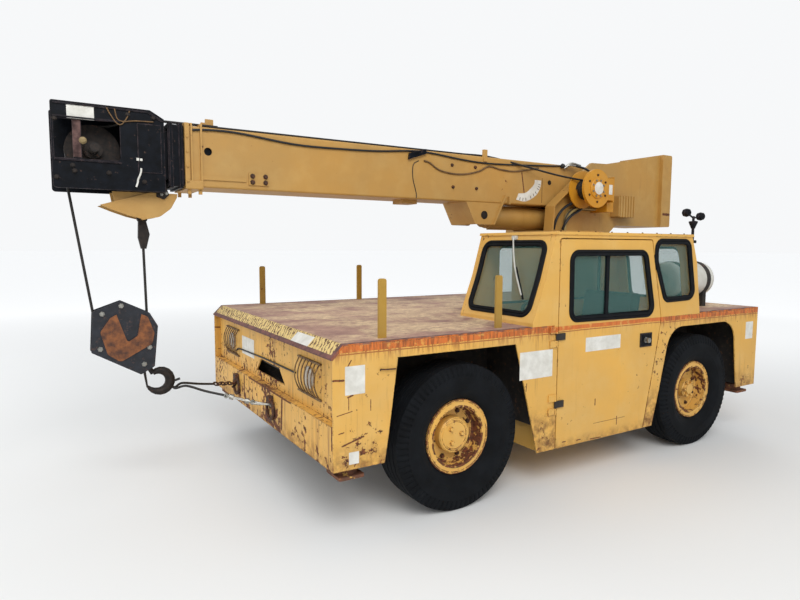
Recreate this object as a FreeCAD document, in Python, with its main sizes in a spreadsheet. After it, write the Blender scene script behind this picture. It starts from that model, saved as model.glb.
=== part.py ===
import FreeCAD, Part
import math
import os
from types import SimpleNamespace

DOC = FreeCAD.newDocument("deck_crane")
V = FreeCAD.Vector

# Millimetres.  Stations run forward from the front axle, side offsets run to
# the left and heights run up from the ground.
size_rows = [
    ("wheelbase", 2438, "front axle to rear axle"),
    ("deck_width", 2440, "over both side skins"),
    ("front_face", 885, "lower front panel ahead of the front axle"),
    ("rear_overhang", 832, "rear panel behind the rear axle"),
    ("deck_top", 1120, "top of the deck plate"),
    ("deck_plate", 10, "deck plate"),
    ("skin", 8, "side, front and rear sheets"),
    ("belly", 425, "lower edge of the corner panels"),
    ("band_tall", 90, "side band above the arches"),
    ("bevel_run", 72, "sloped strip at the deck's front edge"),
    ("lip_tall", 10, "upright lip under the sloped strip"),
    ("recess", 50, "upper front panel behind the lower one"),
    ("ledge_height", 675, "ledge between the two front panels"),
    ("tyre_radius", 462.5, "over the lugs"),
    ("tyre_half", 140, "half the tyre's width"),
    ("bead_half", 82, "half the tyre's width at the beads"),
    ("wheel_inset", 160, "wheel's middle in from the side"),
    ("rim_seat", 195, "bead seat radius"),
    ("rim_sheet", 8, "rim barrel and disc"),
    ("lip_radius", 237, "rim flange radius"),
    ("front_hub", 115, "front hub drum radius"),
    ("rear_hub", 75, "rear hub cap radius"),
    ("hub_front", 60, "hub face outboard of the wheel's middle"),
    ("spindle", 35, "stub axle radius"),
    ("pin_play", 0.05, "radial play of every pin"),
    ("kingpin", 22, "kingpin radius"),
    ("kingpin_inset", 220, "kingpin inboard of the wheel's middle"),
    ("boss_half", 75, "half the kingpin boss's height"),
    ("boss_radius", 40, "kingpin boss radius"),
    ("fork_sheet", 35, "knuckle fork arm"),
    ("arm_gap", 5, "clearance beside moving parts"),
    ("axle_tube", 55, "axle tube radius"),
    ("diff_ball", 170, "axle's middle casing radius"),
    ("rail_span", 660, "between the frame rails"),
    ("rail_wide", 80, "frame rail width"),
    ("rail_low", 560, "underside of the rails"),
    ("rail_tall", 240, "rail height"),
    ("arch_reach", 600, "arch end walls from the axle"),
    ("arch_depth", 520, "arch inner wall in from the side"),
    ("jack_tube", 110, "jack barrel's outside"),
    ("jack_leg", 84, "jack leg's outside"),
    ("jack_inset", 110, "jack's middle in from the side"),
    ("foot_low", 362, "underside of the jack feet"),
    ("foot_sheet", 18, "jack foot plate"),
    ("slew_ahead", 438, "slewing axis ahead of the rear axle"),
    ("tail_swing", 1345, "counterweight's rear face behind the slewing axis"),
    ("pedestal", 400, "pedestal radius"),
    ("pedestal_top", 1680, "top of the pedestal"),
    ("ring_tall", 60, "slewing ring height"),
    ("ring_radius", 430, "slewing ring radius"),
    ("table_gap", 5, "between ring and turntable"),
    ("slew_post", 150, "centre post radius"),
    ("table_sheet", 40, "turntable plate"),
    ("cheek_span", 390, "between the turret's side plates"),
    ("cheek_sheet", 30, "turret side plate"),
    ("flange_wide", 75, "front flange outside each side plate"),
    ("flange_sheet", 14, "front flange thickness"),
    ("tail_rise", 65, "counterweight's underside above the turntable plate"),
    ("tail_slab", 145, "rear slab of the counterweight"),
    ("tail_wide", 520, "rear slab's width"),
    ("pivot_back", 300, "boom pivot behind the slewing axis"),
    ("pivot_rise", 17, "boom pivot above the base section's middle"),
    ("pivot_pin", 35, "boom pivot pin radius"),
    ("boom_wide", 330, "base section's width"),
    ("boom_tall", 374, "base section's height"),
    ("boom_wall", 10, "base section's wall"),
    ("section_play", 10, "around each inner section"),
    ("pad_play", 0.5, "wear pads and jack guides beside what slides on them"),
    ("mid_wall", 8, "inner sections' wall"),
    ("base_front", 1385, "base section's front face"),
    ("collar_long", 105, "base collar along the boom"),
    ("collar_wall", 15, "base collar over the section"),
    ("mid_collar_long", 90, "middle section's collar"),
    ("head_sheet", 12, "boom head plates"),
    ("head_drop", 43, "boom head's underside below the base section's"),
    ("head_rise", 65, "boom head's top above the base section's"),
    ("head_wide", 320, "boom head's width"),
    ("head_ahead", 115, "boom head's rear edge ahead of the base section's front face"),
    ("head_long", 595, "boom head's length"),
    ("sheave", 140, "head sheave radius"),
    ("sheave_pin", 25, "head sheave pin radius"),
    ("lift_pin", 35, "lift cylinder base pin radius"),
    ("lift_base", 20, "lift cylinder's base pin behind the slewing axis"),
    ("lift_clear", 5, "lift cylinder's pipe above the turntable plate"),
    ("lift_pipe", 8, "oil pipe radius under the lift cylinder"),
    ("lift_gap", 8, "base section above the lift cylinder"),
    ("lift_eye", 1025, "rod eye ahead of the slewing axis"),
    ("barrel", 98, "lift cylinder radius"),
    ("rod", 40, "lift rod radius"),
    ("rod_play", 0.3, "radial gap of rods and fixed collars"),
    ("anchor_ahead", 119, "rope anchor pin ahead of the head's rear edge"),
    ("anchor_drop", 153, "rope anchor pin below the boom head"),
    ("anchor_pin", 12, "rope anchor pin radius"),
    ("rope", 8, "hoist rope radius"),
    ("winch_ahead", 15, "winch drum ahead of the slewing axis"),
    ("winch_rise", 365, "winch drum axis above the turntable plate"),
    ("winch_off", 85, "winch drum beside the turret's left side plate"),
    ("drum_long", 160, "winch drum length"),
    ("winch_radius", 165, "winch flange radius"),
    ("drum_radius", 75, "winch drum radius"),
    ("hose", 11, "winch hose radius"),
    ("cab_clear", 15, "cab's right wall beside the slewing ring"),
    ("cab_nose", 548, "foot of the windscreen behind the front axle"),
    ("cab_tail", 50, "cab's rear foot ahead of the rear axle"),
    ("cab_sheet", 30, "cab's right, front and rear walls"),
    ("door_sheet", 40, "door and cab side wall"),
    ("roof_top", 1745, "cab roof"),
    ("roof_sheet", 20, "cab roof sheet"),
    ("roof_over", 10, "roof past the cab's front, rear and right walls"),
    ("gutter", 8, "roof past the cab's left side"),
    ("door_front", 785, "door's front edge behind the front axle"),
    ("door_gap", 8, "gap all round the door"),
    ("door_low", 265, "door's lower edge"),
    ("glass", 6, "window panes"),
    ("hinge_barrel", 6.5, "door hinge radius"),
    ("hinge_out", 9.5, "door hinge axis outside the side skin"),
    ("hinge_tall", 46, "one knuckle of a hinge"),
    ("hinge_rod", 3.5, "door hinge pin radius"),
    ("tank_radius", 155, "gas tank radius"),
    ("tank_long", 630, "gas tank length"),
    ("tank_inset", 400, "gas tank's middle in from the side"),
    ("tank_rise", 85, "gas tank's underside above the deck"),
    ("post_tall", 340, "stake post height"),
    ("post_wide", 50, "stake post width"),
    ("hook_bowl", 45, "inside radius of the hook's bowl"),
    ("hook_bar", 31, "hook's section radius at its back"),
    ("ring_bar", 10, "tie-down ring bar radius"),
    ("ring_size", 65, "tie-down ring radius"),
]

sheet = DOC.addObject("Spreadsheet::Sheet", "sizes")
for row, (alias, value, meaning) in enumerate(size_rows, start=1):
    sheet.set("A%d" % row, meaning)
    sheet.set("B%d" % row, str(value))
    sheet.setAlias("B%d" % row, alias)
DOC.recompute()
dim = SimpleNamespace(**{alias: value for alias, value, meaning in size_rows})

half_width = dim.deck_width / 2
axle = dim.tyre_radius
rear_axle = -dim.wheelbase
wheel_side = half_width - dim.wheel_inset
kingpin_side = wheel_side - dim.kingpin_inset
arch_inner = half_width - dim.arch_depth
rear_face = rear_axle - dim.rear_overhang
deck_low = dim.deck_top - dim.deck_plate
band_low = deck_low - dim.band_tall
side_in = half_width - dim.skin
slew = rear_axle + dim.slew_ahead
tail = slew - dim.tail_swing
pivot = slew - dim.pivot_back
lift_eye = slew + dim.lift_eye
head_back = dim.base_front + dim.head_ahead
head_reach = head_back + dim.head_long
boom_half = dim.boom_wide / 2
cheek_in = dim.cheek_span / 2
cheek_out = cheek_in + dim.cheek_sheet
ring_top = dim.pedestal_top + dim.ring_tall
table_low = ring_top + dim.table_gap
table_top = table_low + dim.table_sheet
pipe_drop = dim.barrel + dim.lift_pipe / 2
lift_height = table_top + dim.lift_clear + dim.lift_pipe + pipe_drop
boom_low = lift_height + dim.barrel + dim.lift_gap
boom_high = boom_low + dim.boom_tall
boom_middle = boom_low + dim.boom_tall / 2
pivot_height = boom_middle + dim.pivot_rise
head_low = boom_low - dim.head_drop
head_high = boom_high + dim.head_rise
anchor_height = head_low - dim.anchor_drop
winch_height = table_top + dim.winch_rise
tail_low = table_top + dim.tail_rise
door_in = half_width - dim.door_sheet
roof_low = dim.roof_top - dim.roof_sheet
sides = (1, -1)
nodes = []


def node(label, piece, x="0", y="0", z="0"):
    """Name a finished sub-part and place it in the vehicle's frame."""
    piece.Label = label
    centred = ("(sizes.wheelbase - sizes.slew_ahead + sizes.tail_swing"
               " - sizes.base_front - sizes.head_ahead - sizes.head_long) / 2 + ")
    piece.setExpression("Placement.Base.x", centred + x)
    piece.setExpression("Placement.Base.y", y)
    piece.setExpression("Placement.Base.z", z)
    nodes.append(piece)
    return piece


def bind(piece, prop, value):
    """Set a length from a number or from the alias of a cell."""
    if isinstance(value, str):
        piece.setExpression(prop, "sizes." + value)
        return getattr(dim, value)
    setattr(piece, prop, value)
    return value


def outline(points):
    """Edges of a closed outline; a third number rounds that corner."""
    corners = []
    for index, point in enumerate(points):
        here = V(point[0], point[1], 0)
        if len(point) < 3:
            corners.append((here, here, None))
            continue
        after = points[(index + 1) % len(points)]
        back = (V(points[index - 1][0], points[index - 1][1], 0) - here).normalize()
        ahead = (V(after[0], after[1], 0) - here).normalize()
        half = back.getAngle(ahead) / 2
        reach = point[2] / math.tan(half)
        bisector = (back + ahead).normalize()
        middle = here + bisector * (point[2] / math.sin(half) - point[2])
        corners.append((here + back * reach, here + ahead * reach, middle))
    edges = []
    for index, (first, last, middle) in enumerate(corners):
        if middle is not None:
            edges.append(Part.Arc(first, middle, last))
        following = corners[(index + 1) % len(corners)][0]
        if last.distanceToPoint(following) > 0.001:
            edges.append(Part.LineSegment(last, following))
    return edges


def sketch_on(body, role, offset, loops, rings=()):
    """A sketch on one of the body's own origin planes."""
    plane = [item for item in body.Origin.OriginFeatures if item.Role == role][0]
    sketch = body.newObject("Sketcher::SketchObject", "outline")
    sketch.AttachmentSupport = [(plane, "")]
    sketch.MapMode = "FlatFace"
    sketch.AttachmentOffset = FreeCAD.Placement(offset, FreeCAD.Rotation())
    for loop in loops:
        sketch.addGeometry(outline(loop), False)
    for across, up, radius in rings:
        sketch.addGeometry(Part.Circle(V(across, up, 0), V(0, 0, 1), radius), False)
    return sketch


def slab(name, plane, start, thick, outer, holes=(), rings=()):
    """A padded outline: side lies along X and Z, end along Y and Z, plan along X and Y."""
    body = DOC.addObject("PartDesign::Body", name)
    pad_name = name + "_pad"
    depth = getattr(dim, thick) if isinstance(thick, str) else thick
    role, offset = {
        "side": ("XZ_Plane", V(0, 0, -(start + depth))),
        "end": ("YZ_Plane", V(0, 0, start)),
        "plan": ("XY_Plane", V(0, 0, start)),
    }[plane]
    sketch = sketch_on(body, role, offset, [outer] + list(holes), rings)
    pad = body.newObject("PartDesign::Pad", pad_name)
    pad.Profile = sketch
    bind(pad, "Length", thick)
    sketch.Visibility = False
    return body


def turned(name, axis, base, profile):
    """A revolved outline of (along, radius) points about an axis through base."""
    body = DOC.addObject("PartDesign::Body", name)
    role = "XZ_Plane" if axis == "Z" else "XY_Plane"
    offset = V(base[0], base[2], -base[1]) if axis == "Z" else V(*base)
    if axis != "X":
        profile = [(point[1], point[0]) + tuple(point[2:]) for point in profile]
    sketch = sketch_on(body, role, offset, [profile])
    spin = body.newObject("PartDesign::Revolution", name + "_spin")
    spin.Profile = sketch
    spin.ReferenceAxis = (sketch, ["H_Axis" if axis == "X" else "V_Axis"])
    spin.Angle = 360
    sketch.Visibility = False
    return body


def box(name, low, size):
    """A block from its lowest corner; each length is a number or an alias."""
    block = DOC.addObject("Part::Box", name)
    for prop, value in zip(("Length", "Width", "Height"), size):
        bind(block, prop, value)
    block.Placement.Base = V(*low)
    return block


turns = {
    "X": FreeCAD.Rotation(V(0, 1, 0), 90),
    "Y": FreeCAD.Rotation(V(1, 0, 0), -90),
    "Z": FreeCAD.Rotation(),
}


def cyl(name, axis, start, radius, length):
    """A round bar that runs from start along an axis."""
    bar = DOC.addObject("Part::Cylinder", name)
    bind(bar, "Radius", radius)
    bind(bar, "Height", length)
    bar.Placement = FreeCAD.Placement(V(*start), turns[axis])
    return bar


def strut(name, first, last, radius):
    """A round bar between two points."""
    bar = DOC.addObject("Part::Cylinder", name)
    bind(bar, "Radius", radius)
    run = V(*last) - V(*first)
    bar.Height = run.Length
    bar.Placement = FreeCAD.Placement(V(*first), FreeCAD.Rotation(V(0, 0, 1), run))
    return bar


def torus(name, centre, axis, radius, bar):
    """A round ring about an axis."""
    ring = DOC.addObject("Part::Torus", name)
    bind(ring, "Radius1", radius)
    bind(ring, "Radius2", bar)
    ring.Placement = FreeCAD.Placement(V(*centre), turns[axis])
    return ring


def fuse(name, pieces):
    joined = DOC.addObject("Part::MultiFuse", name)
    joined.Shapes = pieces
    joined.Refine = True
    return joined


def group(name, pieces):
    together = DOC.addObject("Part::Compound", name)
    together.Links = pieces
    return together


def cut(name, base, tool):
    rest = DOC.addObject("Part::Cut", name)
    rest.Base = base
    rest.Tool = tool
    rest.Refine = True
    return rest


def rectangle(low_a, high_a, low_b, high_b, radius=0):
    """Corner points of an upright rectangle, rounded if a radius is given."""
    corners = [(low_a, low_b), (high_a, low_b), (high_a, high_b), (low_a, high_b)]
    if radius:
        corners = [corner + (radius,) for corner in corners]
    return corners


rail_side = dim.rail_span / 2
rail_out = rail_side + dim.rail_wide
rail_top = dim.rail_low + dim.rail_tall
jack_side = half_width - dim.jack_inset
jack_stations = (dim.front_face - 125, rear_face + 150)
jack_top = deck_low - 20
jack_mouth = 460


def chassis_frame():
    """Two rails, what crosses them, and the four jack barrels."""
    front, rear = dim.front_face - 65, rear_face + 70
    rails = []
    for side in sides:
        low = rail_side if side > 0 else -rail_out
        rails.append(box("rail", (rear, low, dim.rail_low),
                         (front - rear, "rail_wide", "rail_tall")))
    node("frame_rails", group("rails", rails))
    cross = []
    for station in (front - 60, -620, slew + 700, rear_axle - 222, rear_axle - 562):
        cross.append(box("crossmember", (station - 40, -rail_side, dim.rail_low + 40),
                         (80, "rail_span", 80)))
    for station in (300, -300, -700, slew + 700):
        cross.append(box("web", (station - 40, -rail_out, rail_top),
                         (80, 2 * rail_out, deck_low - rail_top)))
    for station in jack_stations:
        inner = jack_side - dim.jack_tube / 2
        cross.append(box("jack_beam", (station - 50, -inner, rail_top),
                         (100, 2 * inner, 100)))
    node("frame_crossmembers", group("cross", cross))
    tubes = []
    for station in jack_stations:
        for side in sides:
            outer, hollow = dim.jack_tube / 2, dim.jack_leg / 2 + dim.pad_play
            middle = side * jack_side
            tubes.append(slab("jack_tube", "plan", jack_mouth, jack_top - jack_mouth,
                              rectangle(station - outer, station + outer,
                                        middle - outer, middle + outer),
                              [rectangle(station - hollow, station + hollow,
                                         middle - hollow, middle + hollow)]))
    node("jack_barrels", group("jack_tubes", tubes))


def jack_legs():
    for station, end in zip(jack_stations, ("front", "rear")):
        for side, hand in zip(sides, ("left", "right")):
            middle = side * jack_side
            leg = dim.jack_leg / 2
            stem_low = dim.foot_low + dim.foot_sheet
            stem = box("leg", (station - leg, middle - leg, stem_low),
                       ("jack_leg", "jack_leg", jack_top - 40 - stem_low))
            foot = slab("foot", "plan", dim.foot_low, "foot_sheet",
                        rectangle(station - 78, station + 78, middle - 90, middle + 90, 12))
            collar = cyl("ankle", "Z", (station, middle, stem_low), 66, 50)
            node("jack_leg_%s_%s" % (end, hand), fuse("jack", [stem, foot, collar]))


def engine():
    base = dim.rail_low + 120
    node("engine_block", group("engine", [
        box("engine_box", (rear_face + 230, 30 - rail_side, base),
            (420, 2 * rail_side - 60, deck_low - 30 - base)),
    ]))


deck_edge = dim.front_face + dim.skin - dim.bevel_run
lip_top = dim.deck_top - dim.bevel_run
lip_low = lip_top - dim.lip_tall
cab_nose = -dim.cab_nose
cab_foot = -dim.door_front + 40
cab_back = rear_axle + dim.cab_tail
cab_inner = dim.ring_radius + dim.cab_clear
inside = cab_inner + dim.cab_sheet
wide_inside = door_in - inside


def decks():
    front = dim.front_face + dim.skin
    profile = [
        (cab_foot, dim.deck_top), (deck_edge, dim.deck_top), (front, lip_top),
        (front, lip_low), (front - dim.deck_plate, lip_low),
        (deck_edge - 4, deck_low), (cab_foot, deck_low),
    ]
    node("deck_front", slab("deck_front_sheet", "side", -half_width, "deck_width", profile))
    left = cab_back - 12
    plan = [
        (cab_foot, -half_width), (cab_foot, cab_inner), (left, cab_inner),
        (left, half_width), (rear_face, half_width), (rear_face, -half_width),
    ]
    hole = [(slew, 0, dim.pedestal + dim.rod_play)]
    node("deck_rear", slab("deck_rear_sheet", "plan", deck_low, "deck_plate", plan,
                           rings=hole))


front_arch = [(480, band_low), (540, 580), (563, 435), (565, dim.belly)]
front_arch_rear = [(-563, 440), (-405, band_low)]
rear_arch_front = [(425, band_low, 190), (545, 518)]
rear_arch_rear = [(-544, dim.belly), (-529, 507), (-458, band_low, 184)]


def skins():
    face = dim.front_face
    nose = [
        (face, dim.belly), (face, lip_low), (face - 2, lip_low), (deck_edge - 4, deck_low),
    ]
    door_edge = -dim.door_front + dim.door_gap
    rear_front = [(rear_axle + point[0],) + point[1:] for point in rear_arch_front]
    rear_rear = [(rear_axle + point[0],) + point[1:] for point in rear_arch_rear]
    rump = [(rear_face, deck_low), (rear_face, dim.belly)]
    front_left = nose + [(door_edge, deck_low), (door_edge, dim.door_low),
                         (-610, dim.door_low)]
    front_left += front_arch_rear + front_arch
    gap = dim.door_gap
    rear_left = [(x - gap, z) for x, z in door_rear if z <= deck_low]
    rear_left = [(rear_left[0][0], deck_low)] + rear_left
    rear_left += [(rear_axle + 614, dim.door_low)] + rear_front[::-1]
    rear_left += rear_rear[::-1] + rump[::-1]
    node("skin_left", group("skin_left_sheets", [
        fuse("skin_left_hinged",
             [slab("skin_left_front", "side", side_in, "skin", front_left)] + fixed_hinges(1)),
        slab("skin_left_rear", "side", side_in, "skin", rear_left),
    ]))
    right = nose + rump + rear_rear + rear_front
    right += [(rear_axle + 568, dim.belly), (-568, dim.belly)] + front_arch_rear + front_arch
    node("skin_right", fuse("skin_right_hinged",
                            [slab("skin_right_sheet", "side", -half_width, "skin", right)]
                            + fixed_hinges(-1)))


hinge_station = -dim.door_front + 25
hinge_side = half_width + dim.hinge_out
hinge_heights = (507, 970)


def fixed_hinges(side):
    """The knuckles and leaves of two hinges on a side skin, moving knuckle left out."""
    pieces = []
    for height in hinge_heights:
        pieces.append(cyl("hinge_pin", "Z", (hinge_station, side * hinge_side, height),
                          "hinge_rod", 3 * dim.hinge_tall + 2))
        for low in (height, height + 2 * dim.hinge_tall + 2):
            pieces.append(cyl("fixed_knuckle", "Z", (hinge_station, side * hinge_side, low),
                              "hinge_barrel", "hinge_tall"))
            start = half_width if side > 0 else -hinge_side - 1
            pieces.append(box("hinge_leaf", (hinge_station + 2, start, low),
                              (58, dim.hinge_out + 1, "hinge_tall")))
    return pieces


def end_panels():
    face, back = dim.front_face, dim.front_face - dim.recess
    sheet_in = dim.deck_plate
    ledge = dim.ledge_height
    top = deck_low - (back - (deck_edge - 4)) * (deck_low - lip_low) / (
        dim.front_face + dim.skin - dim.deck_plate - (deck_edge - 4)) - 0.5
    profile = [
        (face, dim.belly), (face, ledge), (back, ledge), (back, top),
        (back - sheet_in, top), (back - sheet_in, ledge - sheet_in),
        (face - sheet_in, ledge - sheet_in), (face - sheet_in, dim.belly),
    ]
    panel = slab("front_sheet", "side", -side_in, 2 * side_in, profile)
    opening = slab("front_opening", "end", back - 50, 100,
                   [(-206, 730), (375, 730), (266, 825), (-109, 825)])
    slots = [rectangle(-260 + 70 * step, -220 + 70 * step, 640, 900, 15) for step in range(8)]
    node("end_panels", group("panels", [
        cut("front_cut", panel, opening),
        slab("rear_sheet", "end", rear_face, "skin",
             rectangle(-side_in, side_in, dim.belly, deck_low), slots),
    ]))


tub_knee = 700
tub_front = -dim.door_front + 150


def arch_liners():
    inner, reach, sheet_t, seam = arch_inner, dim.arch_reach, 6, 1
    low = dim.belly + 20
    pieces = []
    for station in (0, rear_axle):
        for side in sides:
            ends = inner if side > 0 else -side_in
            for start in (station - reach - sheet_t, station + reach):
                by_tub = side > 0 and station < 0 and start > station
                high = tub_knee + 80 if by_tub else deck_low
                pieces.append(box("arch_end", (start, ends, low),
                                  (sheet_t, side_in - inner, high - low)))
            wall = inner if side > 0 else -inner - sheet_t
            back, ahead = station - reach + seam, station + reach - seam
            top = [(ahead, deck_low)]
            if side > 0 and station < 0:
                top = [(ahead, tub_knee + 80), (rear_axle + 543, deck_low - 15),
                       (cab_back - 5, deck_low - 15), (cab_back - 5, deck_low)]
            pieces.append(slab("arch_wall", "side", wall, sheet_t, [
                (back, deck_low), (back, axle + 170), (ahead, axle + 170)] + top))
    node("arch_liners", group("liners", pieces))


def front_fittings():
    plane = dim.front_face - dim.recess
    guards, lamps = [], []
    rise, sag = 105, 36
    bow = (rise * rise + sag * sag) / (2 * sag)
    swing = math.degrees(math.asin(rise / bow))
    for side in sides:
        middle = side * (half_width - 420)
        bars = []
        for step in range(7):
            bar = DOC.addObject("Part::Torus", "guard_bar")
            bar.Radius1, bar.Radius2, bar.Angle3 = bow, 4, 2 * swing
            turn = FreeCAD.Rotation(V(0, 1, 0), swing).multiply(
                FreeCAD.Rotation(V(1, 0, 0), 90))
            bar.Placement = FreeCAD.Placement(
                V(plane + sag - bow + 4, middle - 150 + 50 * step, 865), turn)
            bars.append(bar)
        for height in (755, 965):
            bars.append(box("guard_rail", (plane, middle - 170, height), (14, 340, 10)))
        guards.append(fuse("guard", bars))
        lamps.append(turned("headlamp", "X", (plane, middle, 865),
                            [(0, 0), (0, 60), (6, 68), (14, 68), (20, 55), (23, 0)]))
        lamps.append(turned("tail_lamp", "X", (rear_face - 22, side * (half_width - 220), 940),
                            [(0, 0), (3, 48), (22, 52), (22, 0)]))
    node("lamp_guards", group("guards", guards))
    node("lamps", group("lamp_pair", lamps))
    rings = []
    for middle, height in ((-530, 553), (257, 549)):
        face = dim.front_face
        loop = torus("tie_ring", (face + 14, middle, height), "X", "ring_size", "ring_bar")
        lug = slab("tie_lug", "end", face, 30,
                   rectangle(middle - 32, middle + 32, height + 45, height + 92, 8))
        rings.append(fuse("tie", [loop, lug]))
    node("tie_rings", group("ties", rings))


def stake_posts():
    posts = []
    right, left = 70 - half_width, half_width - 100
    for station, middle in ((469, right), (-509, right), (527, left), (-337, left)):
        half = dim.post_wide / 2
        posts.append(slab("post", "side", middle - 8, 16, [
            (station - half, dim.deck_top), (station + half, dim.deck_top),
            (station + half, dim.deck_top + dim.post_tall, 15),
            (station - half, dim.deck_top + dim.post_tall, 15)]))
    node("stake_posts", group("posts", posts))


def axles():
    bodies = []
    for station in (0, rear_axle):
        reach = kingpin_side - dim.boss_radius / 2
        pieces = [
            cyl("tube", "Y", (station, -reach, axle), "axle_tube", 2 * reach),
            turned("diff", "X", (station, 0, axle), [
                (-dim.diff_ball, 0), (-dim.diff_ball + 10, 60, 10), (-90, 145, 60),
                (0, dim.diff_ball, 80), (90, 145, 60), (dim.diff_ball - 10, 60, 10),
                (dim.diff_ball, 0)]),
        ]
        bores = []
        for side in sides:
            low = rail_side if side > 0 else -rail_out
            pieces.append(box("axle_seat", (station - 60, low, axle + 30),
                              (120, "rail_wide", dim.rail_low - axle - 30)))
            foot = (station, side * kingpin_side, axle - dim.boss_half)
            pieces.append(cyl("boss", "Z", foot, "boss_radius", 2 * dim.boss_half))
            bores.append(cyl("boss_bore", "Z", (foot[0], foot[1], axle - 200),
                             "kingpin", 400))
        bodies.append(cut("axle", fuse("axle_solid", pieces), group("bores", bores)))
    node("axles", group("axle_pair", bodies))


def knuckle(label, station, side):
    pin = kingpin_side
    inner = pin + dim.boss_radius + dim.arm_gap
    low, high = dim.boss_half + dim.arm_gap, dim.boss_half + dim.arm_gap + dim.fork_sheet
    web_out = wheel_side - 130
    fork = [
        (pin - 50, axle - high), (web_out, axle - high), (web_out, axle + high),
        (pin - 50, axle + high), (pin - 50, axle + low), (inner, axle + low),
        (inner, axle - low), (pin - 50, axle - low),
    ]
    fork = [(side * y, z) for y, z in fork]
    kingpin_radius = dim.kingpin - dim.pin_play
    start = web_out if side > 0 else -(wheel_side + 15)
    node(label, fuse(label + "_solid", [
        slab("fork", "end", station - 45, 90, fork),
        cyl("kingpin", "Z", (station, side * pin, axle - high), kingpin_radius, 2 * high),
        cyl("spindle", "Y", (station, start, axle), "spindle", wheel_side + 15 - web_out),
    ]))


def wheel(place, station_text, side, hub):
    """Tyre and rim about the wheel's middle, their outer side toward +Y."""
    bead, seat, lip = dim.bead_half, dim.rim_seat, dim.lip_radius
    wide, tall = dim.tyre_half, dim.tyre_radius
    tyre = turned("tyre", "Y", (0, 0, 0), [
        (-bead, seat + dim.rod_play), (-bead, lip + 3), (-bead - 30, lip + 25),
        (-wide, lip + 95, 60), (-wide + 4, tall - 60), (-wide + 20, tall - 12),
        (-wide + 35, tall), (wide - 35, tall), (wide - 20, tall - 12),
        (wide - 4, tall - 60), (wide, lip + 95, 60), (bead + 30, lip + 25),
        (bead, lip + 3), (bead, seat + dim.rod_play)])
    inner = seat - dim.rim_sheet
    out = bead + dim.rim_sheet + 2
    bore = dim.spindle + dim.pin_play
    face = dim.hub_front
    rim = turned("rim", "Y", (0, 0, 0), [
        (-120, bore), (20, bore), (20, 0), (face, 0), (face, hub - 8), (face - 8, hub),
        (2, hub), (2, inner), (out, inner), (out, lip), (out - 8, lip), (out - 8, seat),
        (8 - out, seat), (8 - out, lip), (-out, lip), (-out, inner),
        (-10, inner), (-10, bore + 25), (-120, bore + 25)])
    turn = FreeCAD.Rotation(V(0, 0, 1), 0 if side > 0 else 180)
    for label, piece in (("tyre_", tyre), ("rim_", rim)):
        piece.Placement.Rotation = turn
        node(label + place, piece, station_text,
             "%d * (sizes.deck_width / 2 - sizes.wheel_inset)" % side, "sizes.tyre_radius")


def running_gear():
    axles()
    places = (("front", 0, "0", dim.front_hub), ("rear", rear_axle, "-sizes.wheelbase",
                                                 dim.rear_hub))
    for end, station, text, hub in places:
        for side, hand in zip(sides, ("left", "right")):
            knuckle("knuckle_%s_%s" % (end, hand), station, side)
            wheel("%s_%s" % (end, hand), text, side, hub)


def pedestal():
    base = box("pedestal_base", (slew - 400, -rail_out, rail_top),
               (800, 2 * rail_out, deck_low - rail_top))
    drum = cyl("pedestal_drum", "Z", (slew, 0, deck_low), "pedestal",
               dim.pedestal_top - deck_low)
    ring = cyl("slew_ring", "Z", (slew, 0, dim.pedestal_top), "ring_radius", "ring_tall")
    post = cyl("slew_centre", "Z", (slew, 0, ring_top), "slew_post", dim.table_gap + 30)
    node("pedestal", fuse("pedestal_all", [base, drum, ring, post]))


door_front = -dim.door_front
door_top = roof_low - 30
door_back = rear_axle + 558
door_rear = [(door_back, dim.deck_top), (door_back, 1070), (door_back + 48, 820),
             (door_back + 169, dim.door_low)]
door_head = door_back + (door_top - dim.deck_top) * 140 / 580
deck, roof = dim.deck_top, roof_low
front_slope = [(cab_nose, deck + 23), (cab_nose - 106, deck + 307), (cab_nose - 162, roof - 102),
               (cab_nose - 191, roof)]
rear_slope = [(cab_back + 144, roof), (cab_back + 70, roof - 197), (cab_back + 17, deck + 100),
              (cab_back, deck)]
door_window = [(door_front - 111, roof - 125), (door_back + 208, roof - 125),
               (door_back + 96, deck + 22), (door_front - 118, deck + 32)]
quarter_window = [(door_back + 80, roof - 40), (cab_back + 190, roof - 40),
                  (cab_back + 100, deck + 130), (door_back - 50, deck + 122),
                  (door_back + 78, roof - 185)]
right_window = (cab_back + 298, door_front - 115, deck + 70, roof - 75)
screen_window = (inside + 50, door_in - 40, deck + 75, roof - 60)
back_window = (inside + 90, door_in - 90, deck + 90, roof - 75)
window_round = 45


def round_corners(points):
    return [point + (window_round,) for point in points]


def inset(low_a, high_a, low_b, high_b):
    """A window's rectangle, smaller all round by the panes' play."""
    play = dim.rod_play
    return rectangle(low_a + play, high_a - play, low_b + play, high_b - play, window_round)


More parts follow.
